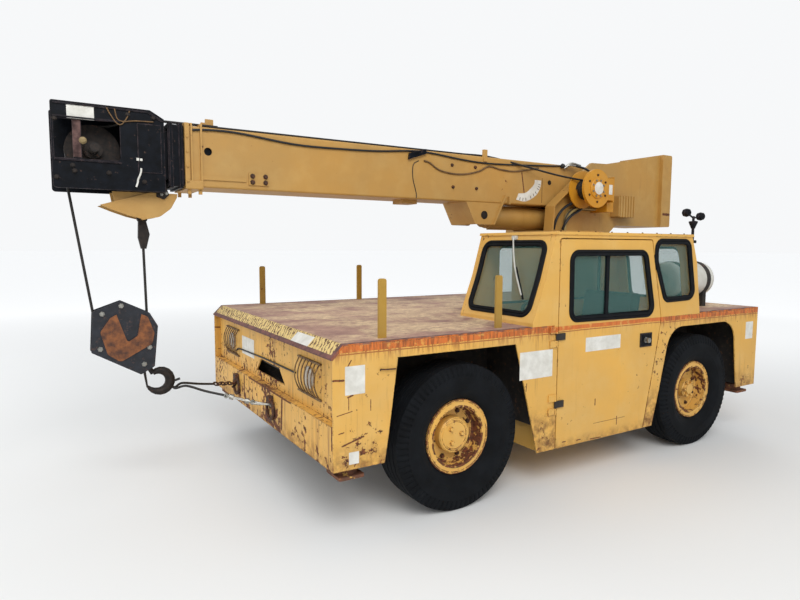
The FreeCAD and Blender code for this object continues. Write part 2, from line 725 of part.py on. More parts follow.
def cab():
    gap = dim.door_gap
    side_outer = [(cab_foot, deck), (cab_nose, deck)] + front_slope + rear_slope[:3] + [
        (cab_back, deck_low), (door_back - gap, deck_low), (door_back - gap, deck),
        (door_head - gap, door_top + gap, 25), (door_front + gap, door_top + gap, 25),
        (door_front + gap, deck_low), (cab_foot, deck_low)]
    node("cab_side", slab("cab_side_sheet", "side", door_in, "door_sheet", side_outer,
                          [round_corners(quarter_window)]))
    inner = dim.cab_sheet
    front = slab("cab_front_sheet", "side", inside, wide_inside, [(cab_nose, deck)] + front_slope
                 + [(x - inner, z) for x, z in front_slope[::-1]] + [(cab_nose - inner, deck)])
    screen_hole = slab("screen_hole", "end", cab_nose - 400, 500,
                       rectangle(*screen_window, window_round))
    rear = slab("cab_rear_sheet", "side", inside, wide_inside,
                rear_slope + [(x + inner, z) for x, z in rear_slope[::-1]])
    back_hole = slab("back_hole", "end", cab_back - 100, 500,
                     rectangle(*back_window, window_round))
    node("cab_end_walls", group("cab_ends", [
        cut("cab_front_cut", front, screen_hole), cut("cab_rear_cut", rear, back_hole)]))
    tub_back = door_back + 80
    right = [(cab_foot, deck), (cab_nose, deck)] + front_slope + rear_slope + [
        (cab_back, deck_low), (door_back - 10, deck_low), (tub_back, tub_knee),
        (tub_back, dim.door_low), (tub_front, dim.door_low), (tub_front, deck_low),
        (cab_foot, deck_low)]
    node("cab_right", slab("cab_right_sheet", "side", cab_inner, "cab_sheet", right,
                           [rectangle(*right_window, window_round)]))
    over = dim.roof_over
    roof_front, roof_rear = front_slope[-1][0] + over, rear_slope[0][0] - over
    node("cab_roof", slab("cab_roof_sheet", "side", cab_inner - over,
                          half_width - cab_inner + over + dim.gutter, [
                              (roof_front, roof_low), (roof_front - 6, dim.roof_top, 8),
                              (roof_rear + 6, dim.roof_top, 8), (roof_rear, roof_low)]))
    floor = dim.door_low + 20
    tub = [
        (tub_front, deck_low), (tub_front - 20, deck_low), (tub_front - 20, floor),
        (tub_back + 20, floor), (tub_back + 20, tub_knee + 2), (door_back + 12, deck),
        (cab_back, deck), (cab_back, deck - 20), (door_back - 8, deck - 20),
        (tub_back, tub_knee - 2), (tub_back, dim.door_low), (tub_front, dim.door_low)]
    node("cab_tub", slab("cab_tub_sheet", "side", inside, wide_inside - gap, tub))
    front_run = [(x - 12, z) for x, z in front_slope]
    back_run = [(x + 12, z) for x, z in rear_slope]
    quarter_pane = slab("quarter_stock", "side", door_in + 16, "glass",
                        round_corners(quarter_window))
    node("cab_glass", group("panes", [
        bent_pane("screen_pane", front_run, -dim.glass, inset(*screen_window)),
        bent_pane("back_pane", back_run, dim.glass, inset(*back_window)),
        quarter_pane,
        slab("right_pane", "side", cab_inner + 12, "glass", inset(*right_window))]))


def bent_pane(name, run, thick, opening):
    """A pane that follows a wall's outline and is trimmed to its opening."""
    across = [(x + thick, z) for x, z in run[::-1]]
    stock = slab(name + "_stock", "side", cab_inner, half_width - cab_inner, run + across)
    pane = DOC.addObject("Part::Common", name)
    pane.Base = stock
    pane.Tool = slab(name + "_trim", "end", run[0][0] - 600, 1200, opening)
    return pane


def cab_inside():
    floor = dim.door_low + 20
    hip, seat_side = door_back + 140, (inside + door_in) / 2
    node("seat", fuse("seat_all", [
        box("seat_box", (hip, seat_side - 200, floor), (400, 400, 260)),
        slab("cushion", "side", seat_side - 230, 460, [
            (hip + 450, floor + 260, 20), (hip + 450, floor + 380, 40), (hip + 100, floor + 350),
            (hip - 5, floor + 1000, 40), (hip - 110, floor + 1000, 40), (hip - 5, floor + 260)]),
    ]))
    wheel_middle = (tub_front - 385, seat_side, 1085)
    column = (tub_front - 65, seat_side, 860)
    lean = FreeCAD.Rotation(V(0, 0, 1), V(-0.82, 0, 0.57))
    rim_ring = torus("steering_rim", wheel_middle, "X", 180, 14)
    rim_ring.Placement.Rotation = lean
    spokes = [strut("spoke", wheel_middle, tuple(
        V(*wheel_middle) + lean.multVec(V(
            180 * math.cos(math.radians(turn)), 180 * math.sin(math.radians(turn)), 0))), 8)
        for turn in (30, 150, 270)]
    node("cab_controls", fuse("controls", [
        box("console", (tub_front - 125, inside, 860), (105, wide_inside - 30, deck_low - 860)),
        strut("column", column, wheel_middle, 28), rim_ring] + spokes))


def door():
    outer = [(door_front, dim.door_low, 10), (door_front, door_top, 20),
             (door_head, door_top, 20)] + door_rear
    node("door_panel", slab("door_sheet_pad", "side", door_in, "door_sheet", outer,
                            [round_corners(door_window)]))
    node("door_glass", slab("door_pane", "side", door_in + 16, "glass",
                            round_corners(door_window)))
    pieces = []
    for height in hinge_heights:
        low = height + dim.hinge_tall + 1
        hinge = fuse("door_hinge", [
            cyl("moving_knuckle", "Z", (hinge_station, hinge_side, low), "hinge_barrel",
                "hinge_tall"),
            box("hinge_arm", (hinge_station - 34, hinge_side - 6, low),
                (34, 8, "hinge_tall")),
            box("moving_leaf", (hinge_station - 80, half_width, low),
                (48, dim.hinge_out + 2, "hinge_tall")),
        ])
        bore = cyl("hinge_bore", "Z", (hinge_station, hinge_side, low - 5),
                   dim.hinge_rod + dim.pin_play, dim.hinge_tall + 10)
        pieces.append(cut("door_hinge_cut", hinge, bore))
    pieces.append(box("latch_plate", (door_back + 102, half_width, 895), (137, 6, 105)))
    node("door_hardware", group("hardware", pieces))


def gas_tank():
    radius, long, end = dim.tank_radius, dim.tank_long, cab_back - 32
    side, height = half_width - dim.tank_inset, dim.deck_top + dim.tank_rise + dim.tank_radius
    node("gas_tank", turned("tank", "X", (end - long, side, height), [
        (-24, 0), (-24, 95), (0, 95), (10, 100, 10), (60, radius, 60),
        (long - 60, radius, 60), (long - 6, 80, 20), (long, 0)]))
    pieces = []
    for along in (150, long - 150):
        start = end - long + along - 25
        strap = turned("strap", "X", (start, side, height), [
            (0, radius + 0.3), (0, radius + 6), (50, radius + 6), (50, radius + 0.3)])
        saddle = slab("saddle", "end", start, 50, [
            (side - 120, dim.deck_top), (side + 120, dim.deck_top),
            (side + 120, height - 100), (side - 120, height - 100)])
        hollow = cyl("saddle_hollow", "X", (start - 20, side, height), radius + 0.3, 90)
        pieces.append(fuse("strap_all", [strap, cut("saddle_cut", saddle, hollow)]))
    node("tank_bracket", group("bracket", pieces))


cheek_front = [(slew + 360, table_low), (slew + 340, table_top + 215),
               (slew + 50, pivot_height + 18), (slew - 205, pivot_height + 204)]
weight_front = slew - 640


def turret():
    cheeks = []
    slab_front = tail + dim.tail_slab
    tail_high = pivot_height + 355
    outer = cheek_front + [
        (slew - 420, pivot_height + 210), (slab_front, pivot_height + 346), (slab_front, tail_low),
        (slew - 560, tail_low), (slew - 430, table_low)]
    for side in sides:
        low = cheek_in if side > 0 else -cheek_out
        cheeks.append(slab("cheek", "side", low, "cheek_sheet", outer))
        start = cheek_out if side > 0 else -cheek_out - dim.flange_wide
        strip = cheek_front[:3] + [(x - dim.flange_sheet, z) for x, z in cheek_front[2::-1]]
        cheeks.append(slab("flange", "side", start, "flange_wide", strip))
    table = turned("table", "Z", (slew, 0, table_low), [
        (0, dim.slew_post + dim.pin_play), (0, dim.ring_radius),
        (dim.table_sheet, dim.ring_radius), (dim.table_sheet, dim.slew_post + dim.pin_play)])
    pins = [
        cyl("pivot_pin", "Y", (pivot, -cheek_out, pivot_height), "pivot_pin",
            2 * cheek_out),
        cyl("lift_pin", "Y", (slew - dim.lift_base, -cheek_out, lift_height),
            "lift_pin", 2 * cheek_out),
    ]
    ribs = [box("box_rib", (slew - 702 + 38 * step, cheek_out, table_top + 139), (20, 108, 198))
            for step in range(6)]
    ribs.append(box("valve_box", (slew - 702, cheek_out, table_top + 145), (228, 100, 186)))
    node("turret_frame", fuse("turret_all", cheeks + [table] + pins + ribs))
    node("counterweight", fuse("counterweight_all", [
        slab("weight", "side", -cheek_in, "cheek_span", [
            (slab_front, tail_low), (weight_front, tail_low), (weight_front, pivot_height + 240),
            (slab_front, pivot_height + 338)]),
        slab("tail_slab", "side", -dim.tail_wide / 2, "tail_wide", [
            (tail, tail_low, 20), (slab_front, tail_low), (slab_front, tail_high),
            (tail, tail_high, 20)]),
    ]))


winch_in = cheek_out + dim.winch_off
winch_out = winch_in + dim.drum_long


def winch():
    """The drum on its shaft, the round end plate that holds it and the motor's hoses."""
    station, height = slew + dim.winch_ahead, winch_height
    back, plate, block_low = slew - 205, winch_out + 4, winch_height - 190
    pieces = [
        box("winch_base", (back, cheek_out, height - 110), (12, plate + 10 - cheek_out, 220)),
        cyl("winch_disc", "Y", (station, plate, height), "winch_radius", 10),
        box("winch_tab", (back, plate, height - 95), (station - back, 10, 190)),
        cyl("winch_shaft", "Y", (station, cheek_out, height), 30, plate - cheek_out),
        turned("winch_hub", "Y", (station, plate + 10, height), [
            (0, 0), (0, 88), (6, 88), (12, 80), (12, 58), (18, 55), (18, 0)]),
        box("winch_motor", (back - 85, cheek_out, block_low), (85, 185, 230)),
    ]
    level = block_low + 25
    for step, bend in enumerate((120, 155, 190)):
        side, turn = cheek_out + 18 + 26 * step, slew + 30 - 12 * step
        arc = torus("hose_bend", (turn, side, level - bend), "Y", bend, dim.hose)
        arc.Angle3 = 90
        arc.Placement.Rotation = FreeCAD.Rotation(V(1, 0, 0), 90)
        pieces += [arc, strut("hose_drop", (turn + bend, side, table_top),
                              (turn + bend, side, level - bend), dim.hose),
                   strut("hose_tail", (back - 20, side, level), (turn, side, level),
                         dim.hose)]
    node("winch_frame", fuse("winch_frame_all", pieces))
    node("winch_drum", turned("drum", "Y", (station, 0, height), [
        (winch_in, 30.3), (winch_in, dim.winch_radius), (winch_in + 10, dim.winch_radius),
        (winch_in + 10, dim.drum_radius), (winch_out - 10, dim.drum_radius),
        (winch_out - 10, dim.winch_radius), (winch_out, dim.winch_radius),
        (winch_out, 30.3)]))


base_back = pivot - 80
bracket_back, bracket_front = lift_eye - 205, lift_eye + 169
bracket_low = lift_height - 73


def wear_pads(front, half, low, high):
    """Slide pads inside a section's mouth, a running gap short of the next section."""
    thick = dim.section_play - dim.pad_play
    pads = []
    for side in sides:
        middle = side * (half - 60)
        for start in (low - 1, high - thick):
            pads.append(box("pad", (front - 120, middle - 30, start), (100, 60, thick + 1)))
        inner = half - thick if side > 0 else -half - 1
        pads.append(box("side_pad", (front - 120, inner, (low + high) / 2 - 40),
                        (100, thick + 1, 80)))
    return pads


def lift_bracket():
    """Cheeks, front plate and rear flanges under the boom, with the rod eye's bosses."""
    half, low = boom_half, boom_low
    pieces = []
    rear = [(bracket_back, low + 1), (lift_eye - 114, bracket_low)]
    front = [(lift_eye + 75, bracket_low), (bracket_front, low + 1)]
    slope = (rear[1][0] - rear[0][0]) / (rear[0][1] - rear[1][1])
    for side in sides:
        start = half - 14 if side > 0 else -half
        pieces.append(slab("lift_cheek", "side", start, 14, [
            front[1], rear[0], rear[1] + (20,), front[0] + (20,)]))
        pieces.append(cyl("eye_stub", "Y", (lift_eye, 75 if side > 0 else 14 - half,
                                            lift_height - 2), 32, half - 14 - 75))
        start = half if side > 0 else -half - 26
        high = low + 70
        top = rear[0][0] - slope * (high - low)
        pieces.append(slab("lift_flange", "side", start, 26, [
            (top, high), (rear[1][0], bracket_low), (rear[1][0] + 12, bracket_low),
            (top + 12, high)]))
        pieces.append(box("lift_fin", (top - 40, half if side > 0 else -half - 26, low - 4),
                          (12, 26, 64)))
    plate = [front[0], front[1], (front[1][0] - 12, front[1][1]), (front[0][0] - 12, front[0][1])]
    pieces.append(slab("lift_plate", "side", 14 - half, dim.boom_wide - 28, plate))
    return pieces


def boom_base():
    half, low, high, wall = boom_half, boom_low, boom_high, dim.boom_wall
    front, over = dim.base_front, dim.collar_wall
    section = slab("base_section", "end", base_back, front - base_back,
                   rectangle(-half, half, low, high, 14),
                   [rectangle(-half + wall, half - wall, low + wall, high - wall, 6)])
    ring_hole = [rectangle(-half + 1, half - 1, low + 1, high - 1)]
    ring = rectangle(-half - over, half + over, low - over, high + over, 10)
    rings = [slab("base_collar", "end", front - start, long, ring, ring_hole)
             for start, long in ((26, 26), (45, 10), (dim.collar_long, 12))]
    shoe = slab("collar_shoe", "end", front - dim.collar_long + 12, dim.collar_long - 38,
                rectangle(-half - over, half + over, low - over, low + 40, 8),
                [rectangle(-half + 1, half - 1, low + 1, low + 60)])
    pieces = [cyl("pivot_tube", "Y", (pivot, -half, pivot_height), 62, "boom_wide")]
    for station in (front - 93, front - 26):
        for side in sides:
            pieces.append(box("collar_lug", (station - 10, side * 150 - 8, low - 44),
                              (20, 16, 40)))
    for side in sides:
        start = half - 1 if side > 0 else -half - 9
        pieces.append(box("lower_strip", (front - 380, start, low + 48), (275, 10, 26)))
        pieces.append(box("pad_cover", (front - 533, start, low + 30), (135, 10, 78)))
        pieces.append(box("top_lug", (front - 203, side * 60 - 8, high - 1), (50, 16, 70)))
    pieces.append(box("rope_guide", (pivot + 1290, half - 16, high - 40), (36, 24, 96)))
    pieces.append(box("boom_stop", (pivot + 1912, -70, low - 31), (139, 140, 32)))
    pads = wear_pads(front, half - wall, low + wall, high - wall)
    solid = fuse("base_solid", [section, shoe] + rings + pieces + lift_bracket() + pads)
    bore = group("base_holes", [
        cyl("pivot_bore", "Y", (pivot, -half - 10, pivot_height),
            dim.pivot_pin + dim.pin_play, dim.boom_wide + 20),
        cyl("sight_hole", "Y", (front - 142, half - wall - 5, boom_middle + 37), 25, 30)])
    node("boom_base", cut("base_cut", solid, bore))


def boom_inner():
    base_in = dim.boom_wall + dim.section_play
    half, low, high = boom_half - base_in, boom_low + base_in, boom_high - base_in
    wall = dim.mid_wall
    front = dim.base_front + 5
    end = front + dim.mid_collar_long
    mid = slab("mid_section", "end", pivot + 800, end - pivot - 800,
               rectangle(-half, half, low, high, 10),
               [rectangle(-half + wall, half - wall, low + wall, high - wall, 4)])
    hole = [rectangle(-half + 1, half - 1, low + 1, high - 1)]
    collars = [
        slab("mid_collar", "end", front, "mid_collar_long",
             rectangle(-boom_half + 10, boom_half - 10, boom_low, boom_high, 8), hole)]
    for start in (front + 8, end - 26):
        collars.append(slab("mid_rib", "end", start, 18, rectangle(
            -boom_half, boom_half, boom_low - 10, boom_high + 10, 8), hole))
    pads = wear_pads(end, half - wall, low + wall, high - wall)
    node("boom_mid", fuse("mid_all", [mid] + collars + pads))
    inner = wall + dim.section_play
    half, low, high = half - inner, low + inner, high - inner
    section = slab("fly_section", "end", pivot + 900, head_back + 20 - pivot - 900,
                   rectangle(-half, half, low, high, 8),
                   [rectangle(-half + wall, half - wall, low + wall, high - wall, 3)])
    boom_head(section, half - wall, low + wall, high - wall)


sheave_station, sheave_height = head_reach - 215, boom_middle + 7
anchor_station = head_back + dim.anchor_ahead


def boom_head(section, half, low, high):
    """The black plate head: a window in its left side, stiffeners and the sheave's seats."""
    head_half, plate = dim.head_wide / 2, dim.head_sheet
    head_in = head_half - plate
    reach, back = head_reach, head_back
    outer = [
        (back, head_low), (back, head_high - 45), (back + 78, head_high),
        (reach, head_high, 12), (reach, head_low, 20)]
    window_low, window_high = sheave_height - 70, sheave_height + 150
    window = [(reach - 12, window_low), (reach - 12, window_high - 5),
              (reach - 350, window_high + 5, 20), (reach - 350, window_low + 5, 20)]
    pieces = [section]
    for side in sides:
        start = head_in if side > 0 else -head_half
        pieces.append(slab("head_plate", "side", start, "head_sheet", outer,
                           [window] if side > 0 else ()))
        start = head_half - 1 if side > 0 else -head_half - 5
        pieces.append(box("head_cover", (back + 20, start, head_low + 112), (130, 6, 285)))
    for height in (window_low - 12, window_high + 4):
        pieces.append(box("window_lip", (reach - 352, head_half - 1, height), (340, 10, 8)))
    pieces.append(box("guide_bar", (reach - 150, head_in - 21, window_low - 40), (44, 22, 275)))
    pieces.append(slab("head_back_plate", "end", back, 12,
                       rectangle(-head_in, head_in, head_low, head_high - 45),
                       [rectangle(-half, half, low, high)]))
    pieces.append(box("head_top", (back + 78, -head_in, head_high - plate),
                      (reach - back - 98, 2 * head_in, "head_sheet")))
    pieces.append(box("head_bottom", (back, -head_in, head_low),
                      (250, 2 * head_in, "head_sheet")))
    node("boom_fly", cut("fly_cut", fuse("fly_solid", pieces), cyl(
        "pin_hole", "Y", (sheave_station, -head_half - 40, sheave_height),
        dim.sheave_pin + dim.rod_play, 2 * head_half + 80)))
    radius, side = dim.sheave, 20
    node("head_sheave", fuse("sheave_all", [
        cyl("sheave_pin_bar", "Y", (sheave_station, -head_half - 14, sheave_height),
            "sheave_pin", 2 * head_half + 28),
        turned("sheave_disc", "Y", (sheave_station, 0, sheave_height), [
            (-side - 40, 10), (-side - 40, 50), (-side, 50), (-side, radius + 10),
            (-side + 8, radius + 10), (-6, radius - 8), (6, radius - 8),
            (side - 8, radius + 10), (side, radius + 10), (side, 50), (side + 40, 50),
            (side + 40, 10)]),
    ]))


def anchor_pod():
    """Two teardrop plates under the head that hold the rope's end on a pin."""
    x, low = anchor_station, head_low
    pin = anchor_height
    pod = [
        (x + 240, pin + 70), (x + 171, pin + 41), (x + 79, pin + 9), (x - 5, pin - 10, 60),
        (x - 92, pin + 8, 60), (x - 158, pin + 60, 60), (x - 196, pin + 130, 40),
        (x - 199, low + 15, 10), (x - 39, low + 1)]
    pieces = []
    for side in sides:
        start = 80 if side > 0 else -92
        pieces.append(slab("pod_cheek", "side", start, 12, pod))
        pieces.append(slab("pod_hanger", "side", start - side * 13, 12, [
            (x + 45, pin + 60), (x + 160, pin + 90), (x + 171, low - 0.3),
            (x - 59, low - 0.3), (x - 59, pin + 70)]))
    pieces.append(cyl("anchor_pin", "Y", (x, -92, pin), "anchor_pin", 184))
    trim = box("head_room", (x - 210, -150, low - 0.3), (420, 300, 60))
    node("anchor_pod", cut("pod_cut", fuse("pod_solid", pieces), trim))


def lift_cylinder():
    base = slew - dim.lift_base
    height = lift_height
    eye_bore = dim.lift_pin + dim.pin_play
    mouth = lift_eye - 125
    barrel = fuse("barrel_solid", [
        turned("barrel_tube", "X", (base, 0, height), [
            (60, 0), (60, 80), (90, dim.barrel), (mouth - base - 40, dim.barrel),
            (mouth - base - 40, dim.barrel - 8), (mouth - base, dim.barrel - 8),
            (mouth - base, 0)]),
        cyl("barrel_eye", "Y", (base, -62, height), 80, 124),
        strut("barrel_pipe", (base + 150, 0, height - pipe_drop),
              (mouth - 60, 0, height - pipe_drop), dim.lift_pipe),
    ])
    bores = group("barrel_bores", [
        cyl("base_bore", "Y", (base, -80, height), eye_bore, 160),
        cyl("rod_bore", "X", (base + 110, 0, height), dim.rod + dim.pin_play,
            mouth - base),
    ])
    node("lift_barrel", cut("barrel_cut", barrel, bores))
    node("lift_rod", fuse("rod_all", [
        cyl("rod_bar", "X", (base + 120, 0, height), "rod", lift_eye - base - 120 - 30),
        turned("rod_eye", "Y", (lift_eye, 0, height), [
            (-60, 20), (-60, 44), (60, 44), (60, 20)]),
    ]))


def tackle():
    x = anchor_station
    anchor = (x, 0, anchor_height)
    socket_low = anchor_height - 190
    eye_bore = dim.anchor_pin + dim.pin_play
    eye = turned("socket_eye", "Y", anchor, [
        (-22, eye_bore), (-22, 30), (22, 30), (22, eye_bore)])
    wedge_points = [
        (x - 22, anchor[2] - 22), (x + 22, anchor[2] - 22), (x + 26, anchor[2] - 120),
        (x + 10, socket_low), (x - 18, socket_low), (x - 40, anchor[2] - 100)]
    wedge = slab("wedge", "side", -22, 44, wedge_points)
    node("rope_socket", cut("socket_cut", fuse("socket_all", [eye, wedge]),
                            cyl("socket_bore", "Y", (x, -40, anchor[2]), eye_bore, 80)))
    plate = [(x + 139, 1299, 12), (x + 300, 1241, 12), (x + 316, 992, 12), (x + 41, 830, 12),
             (x - 41, 875, 12), (x - 67, 1133, 12), (x - 20, 1219, 12)]
    inner = [(x + 139, 1290), (x + 293, 1235), (x + 308, 998), (x + 43, 840), (x - 33, 882),
             (x - 57, 1130), (x - 13, 1212)]
    cover = [(x + 206, 1199, 30), (x + 264, 1114, 30), (x + 227, 974, 40), (x + 156, 922, 30),
             (x - 29, 1022, 20), (x - 44, 1090, 20), (x - 7, 1196, 20), (x + 106, 1250, 20)]
    slot = [(x + 50, 1265), (x + 22, 1243), (x + 55, 1079, 14), (x + 113, 1040, 14),
            (x + 150, 1262)]
    cut_away = [(x + 18, 1275), (x + 55, 1079, 14), (x + 113, 1040, 14), (x + 170, 1215),
                (x + 120, 1275)]
    block = []
    for side in sides:
        block.append(slab("block_plate", "side", 36 if side > 0 else -46, 10, plate))
        block.append(cut("block_skin", slab(
            "block_cover", "side", 45 if side > 0 else -54, 9, cover),
            slab("block_slot", "side", 46 if side > 0 else -64, 18, cut_away)))
    block.append(slab("block_core", "side", -36, 72, inner))
    node("hook_block", fuse("block_all", block))
    socket_stock = slab("socket_stock", "side", -22, 44, wedge_points)
    node("hoist_falls", group("falls", [
        cut("front_trim", strut("front_fall", (sheave_station + 138, 0, sheave_height - 222),
                                (x + 284, 0, 1150), "rope"),
            slab("block_stock", "side", -36, 72, inner)),
        cut("rear_trim", cut("rear_low", strut(
            "rear_fall", (x - 2, 0, socket_low + 30), (x - 10, 0, 1170), "rope"),
            socket_stock), slab("block_stock", "side", -36, 72, inner)),
    ]))
    hook(x - 62, 770, inner)


def hook(x, z, block_outline):
    """A forged hook about its bowl's middle: thickest at the back, with a tapered tip."""
    body = DOC.addObject("PartDesign::Body", "hook_bow")
    first, thickest, level, last, steps = 62, 190, 270, 336, 15
    sketches = []
    for step in range(steps + 1):
        turn = first + (last - first) * step / steps
        slim, span = (15, thickest - first) if turn < thickest else (23, last - thickest)
        radius = dim.hook_bar - slim * ((turn - thickest) / span) ** 2
        flare = 16 * (max(turn - level, 0) / (last - level)) ** 2
        reach, spin = dim.hook_bowl + radius + flare, math.radians(turn)
        sketch = sketch_on(body, "XY_Plane", V(), [], [(0, 0, radius)])
        sketch.AttachmentOffset = FreeCAD.Placement(
            V(x + reach * math.cos(spin), 0, z + reach * math.sin(spin)),
            FreeCAD.Rotation(V(0, 1, 0), -turn))
        sketch.Visibility = False
        sketches.append(sketch)
    loft = body.newObject("PartDesign::AdditiveLoft", "hook_loft")
    loft.Profile = sketches[0]
    loft.Sections = sketches[1:]
    loft.Ruled = True
    shank = strut("hook_shank", (x + 28, 0, z + 52), (x + 62, 0, z + 115), 15.5)
    tip = dim.hook_bowl + 26
    latch = slab("hook_latch", "side", -6, 12, [
        (x + tip - 12, z - 34), (x + tip - 2, z - 36), (x + tip + 16, z + 75),
        (x + tip, z + 75)])
    stock = slab("hook_stock", "side", -36, 72, block_outline)
    node("hook", cut("hook_trim", fuse("hook_all", [body, shank, latch]), stock))


chassis_frame()
jack_legs()
engine()
decks()
skins()
end_panels()
arch_liners()
front_fittings()
stake_posts()
running_gear()
pedestal()
cab()
cab_inside()
door()
gas_tank()
turret()
winch()
boom_base()
boom_inner()
anchor_pod()
lift_cylinder()
tackle()

DOC.recompute()
faults = []
for item in DOC.Objects:
    if "Invalid" in item.State or "Error" in item.State:
        faults.append("%s: %s" % (item.Name, item.State))
for item in nodes:
    if item.Shape.isNull() or not item.Shape.isValid():
        faults.append("%s has no valid shape" % item.Label)
if faults:
    raise RuntimeError("; ".join(faults))
os.makedirs("parts", exist_ok=True)
for item in nodes:
    item.Shape.exportStep("parts/%s.step" % item.Label)
print("%d sub-parts written" % len(nodes))
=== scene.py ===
import math
import bpy
import bmesh
from mathutils import Matrix, Vector


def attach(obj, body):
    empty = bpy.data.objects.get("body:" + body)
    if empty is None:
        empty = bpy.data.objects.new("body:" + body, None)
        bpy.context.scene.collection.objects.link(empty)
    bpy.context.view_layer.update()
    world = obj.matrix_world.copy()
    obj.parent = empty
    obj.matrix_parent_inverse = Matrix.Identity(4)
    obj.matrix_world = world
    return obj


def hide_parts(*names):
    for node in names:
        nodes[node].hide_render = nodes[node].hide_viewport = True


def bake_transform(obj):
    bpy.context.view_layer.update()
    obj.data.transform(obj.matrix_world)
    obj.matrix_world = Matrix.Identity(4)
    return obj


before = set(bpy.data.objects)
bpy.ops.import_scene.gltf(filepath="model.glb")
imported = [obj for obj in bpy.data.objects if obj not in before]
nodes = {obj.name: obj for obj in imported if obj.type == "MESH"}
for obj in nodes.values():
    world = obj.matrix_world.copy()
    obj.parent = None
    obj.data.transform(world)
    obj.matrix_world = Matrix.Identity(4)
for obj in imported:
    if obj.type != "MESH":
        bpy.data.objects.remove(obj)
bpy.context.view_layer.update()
shift = 0.625  # the front axle lies this far ahead of the middle, and stations start from it
axleX = {"front": shift, "rear": shift - 2.438}
axleHigh = 0.4625
handSide = {"left": 1, "right": -1}


# colours and nodes

def linear(value):
    # sRGB hex text as linear light, anything else as it is
    if not (isinstance(value, str) and value.startswith("#")):
        return value
    parts = [int(value[i:i + 2], 16) / 255 for i in (1, 3, 5)]
    return tuple(v / 12.92 if v <= 0.04045 else ((v + 0.055) / 1.055) ** 2.4 for v in parts) + (1,)


def addNode(tree, kind, feeds=(), out=0, stops=(), **settings):
    # feeds: values or other nodes' outputs, in the order of the inputs or by their names;
    # stops: a ramp's two (place, colour or level) pairs
    node = tree.nodes.new(kind)
    for key, value in settings.items():
        setattr(node, key, value)
    for key, value in feeds.items() if isinstance(feeds, dict) else enumerate(feeds):
        if isinstance(value, bpy.types.NodeSocket):
            tree.links.new(value, node.inputs[key])
        else:
            node.inputs[key].default_value = linear(value)
    if stops:
        for element, (spot, tone) in zip(node.color_ramp.elements, stops):
            element.position = spot
            element.color = linear(tone) if isinstance(tone, str) else (tone, tone, tone, 1)
    return node if out is None else node.outputs[out]


def newMaterial(name, rough, metallic=0.0):
    material = bpy.data.materials.new(name)
    material.use_nodes = True
    tree = material.node_tree
    shader = tree.nodes["Principled BSDF"]
    shader.inputs["Roughness"].default_value = rough
    shader.inputs["Metallic"].default_value = metallic
    return material, tree, shader, addNode(tree, "ShaderNodeTexCoord", out="Object")


def surface(tree, shader, colour, relief=None, strength=0.4, deep=0.0):
    # a finish's colour, and its small relief where it is so many metres deep
    tree.links.new(colour, shader.inputs["Base Color"])
    if deep:
        bump = addNode(tree, "ShaderNodeBump", {
            "Height": relief, "Strength": strength, "Distance": deep})
        tree.links.new(bump, shader.inputs["Normal"])


def reckon(tree, way, *parts):
    # masks or heights taken together one after another, such as MULTIPLY where all must hold
    whole = parts[0]
    for part in parts[1:]:
        whole = addNode(tree, "ShaderNodeMath", [whole, part], operation=way)
    return whole


def grain(tree, place, perMetre, detail=4, rough=0.55, stretch=None, amount=None):
    # uneven lumps, about so many to the metre, drawn out along an axis where stretch is small
    if stretch:
        place = addNode(tree, "ShaderNodeMapping", {"Vector": place, "Scale": stretch})
    lumps = addNode(tree, "ShaderNodeTexNoise", {
        "Vector": place, "Scale": perMetre, "Detail": detail, "Roughness": rough}, "Fac")
    return reckon(tree, "MULTIPLY", lumps, amount) if amount else lumps


def patches(tree, place, perMetre, detail, rough, low, high, stretch=None):
    # lumps sorted into two levels or colours
    return addNode(tree, "ShaderNodeValToRGB", [
        grain(tree, place, perMetre, detail, rough, stretch)], stops=(low, high))


def coat(tree, base, colour, *masks):
    # a colour over another where all the masks hold
    return addNode(tree, "ShaderNodeMix", {0: reckon(tree, "MULTIPLY", *masks), 6: base,
                                           7: colour}, 2, data_type="RGBA")


def between(tree, value, low, high):
    return reckon(tree, "MULTIPLY", reckon(tree, "GREATER_THAN", value, low),
                  reckon(tree, "LESS_THAN", value, high))


# yellow machinery enamel over rolled plate: satin and chalked by weather, chipped to rust along
# its edges, with thin brown runs below

enamel = {
    "fresh": "#e2ac4c", "chalked": "#d3a556", "pale": "#ddbb76",
    # the two boom tones are the same yellow enamel darkened to how its shaded side looks: painted
    # shade, used on the boom and the turret
    "boom": "#bb8c43", "boomShadedChalked": "#ae884b", "post": "#b48a2c", "postDark": "#9b7a34",
    "disc": "#d0921e", "discDark": "#b97f22", "rust": "#7d4526", "rustDark": "#43281c",
    "run": "#8a5c30", "orange": "#d2702a", "drip": "#8f4c20", "stripeLine": "#a5642c",
    "edgeWide": 0.006, "streakPerMetre": 34, "chipPerMetre": 26, "speckPerMetre": 75,
}


def edgeMask(tree):
    # 1 nearer to a sheet's edge than the worn width
    soft = addNode(tree, "ShaderNodeBevel", {"Radius": enamel["edgeWide"]}, samples=4)
    own = addNode(tree, "ShaderNodeNewGeometry", out="True Normal")
    same = addNode(tree, "ShaderNodeVectorMath", [soft, own], "Value", operation="DOT_PRODUCT")
    return addNode(tree, "ShaderNodeMapRange", [same, 0.995, 0.93])


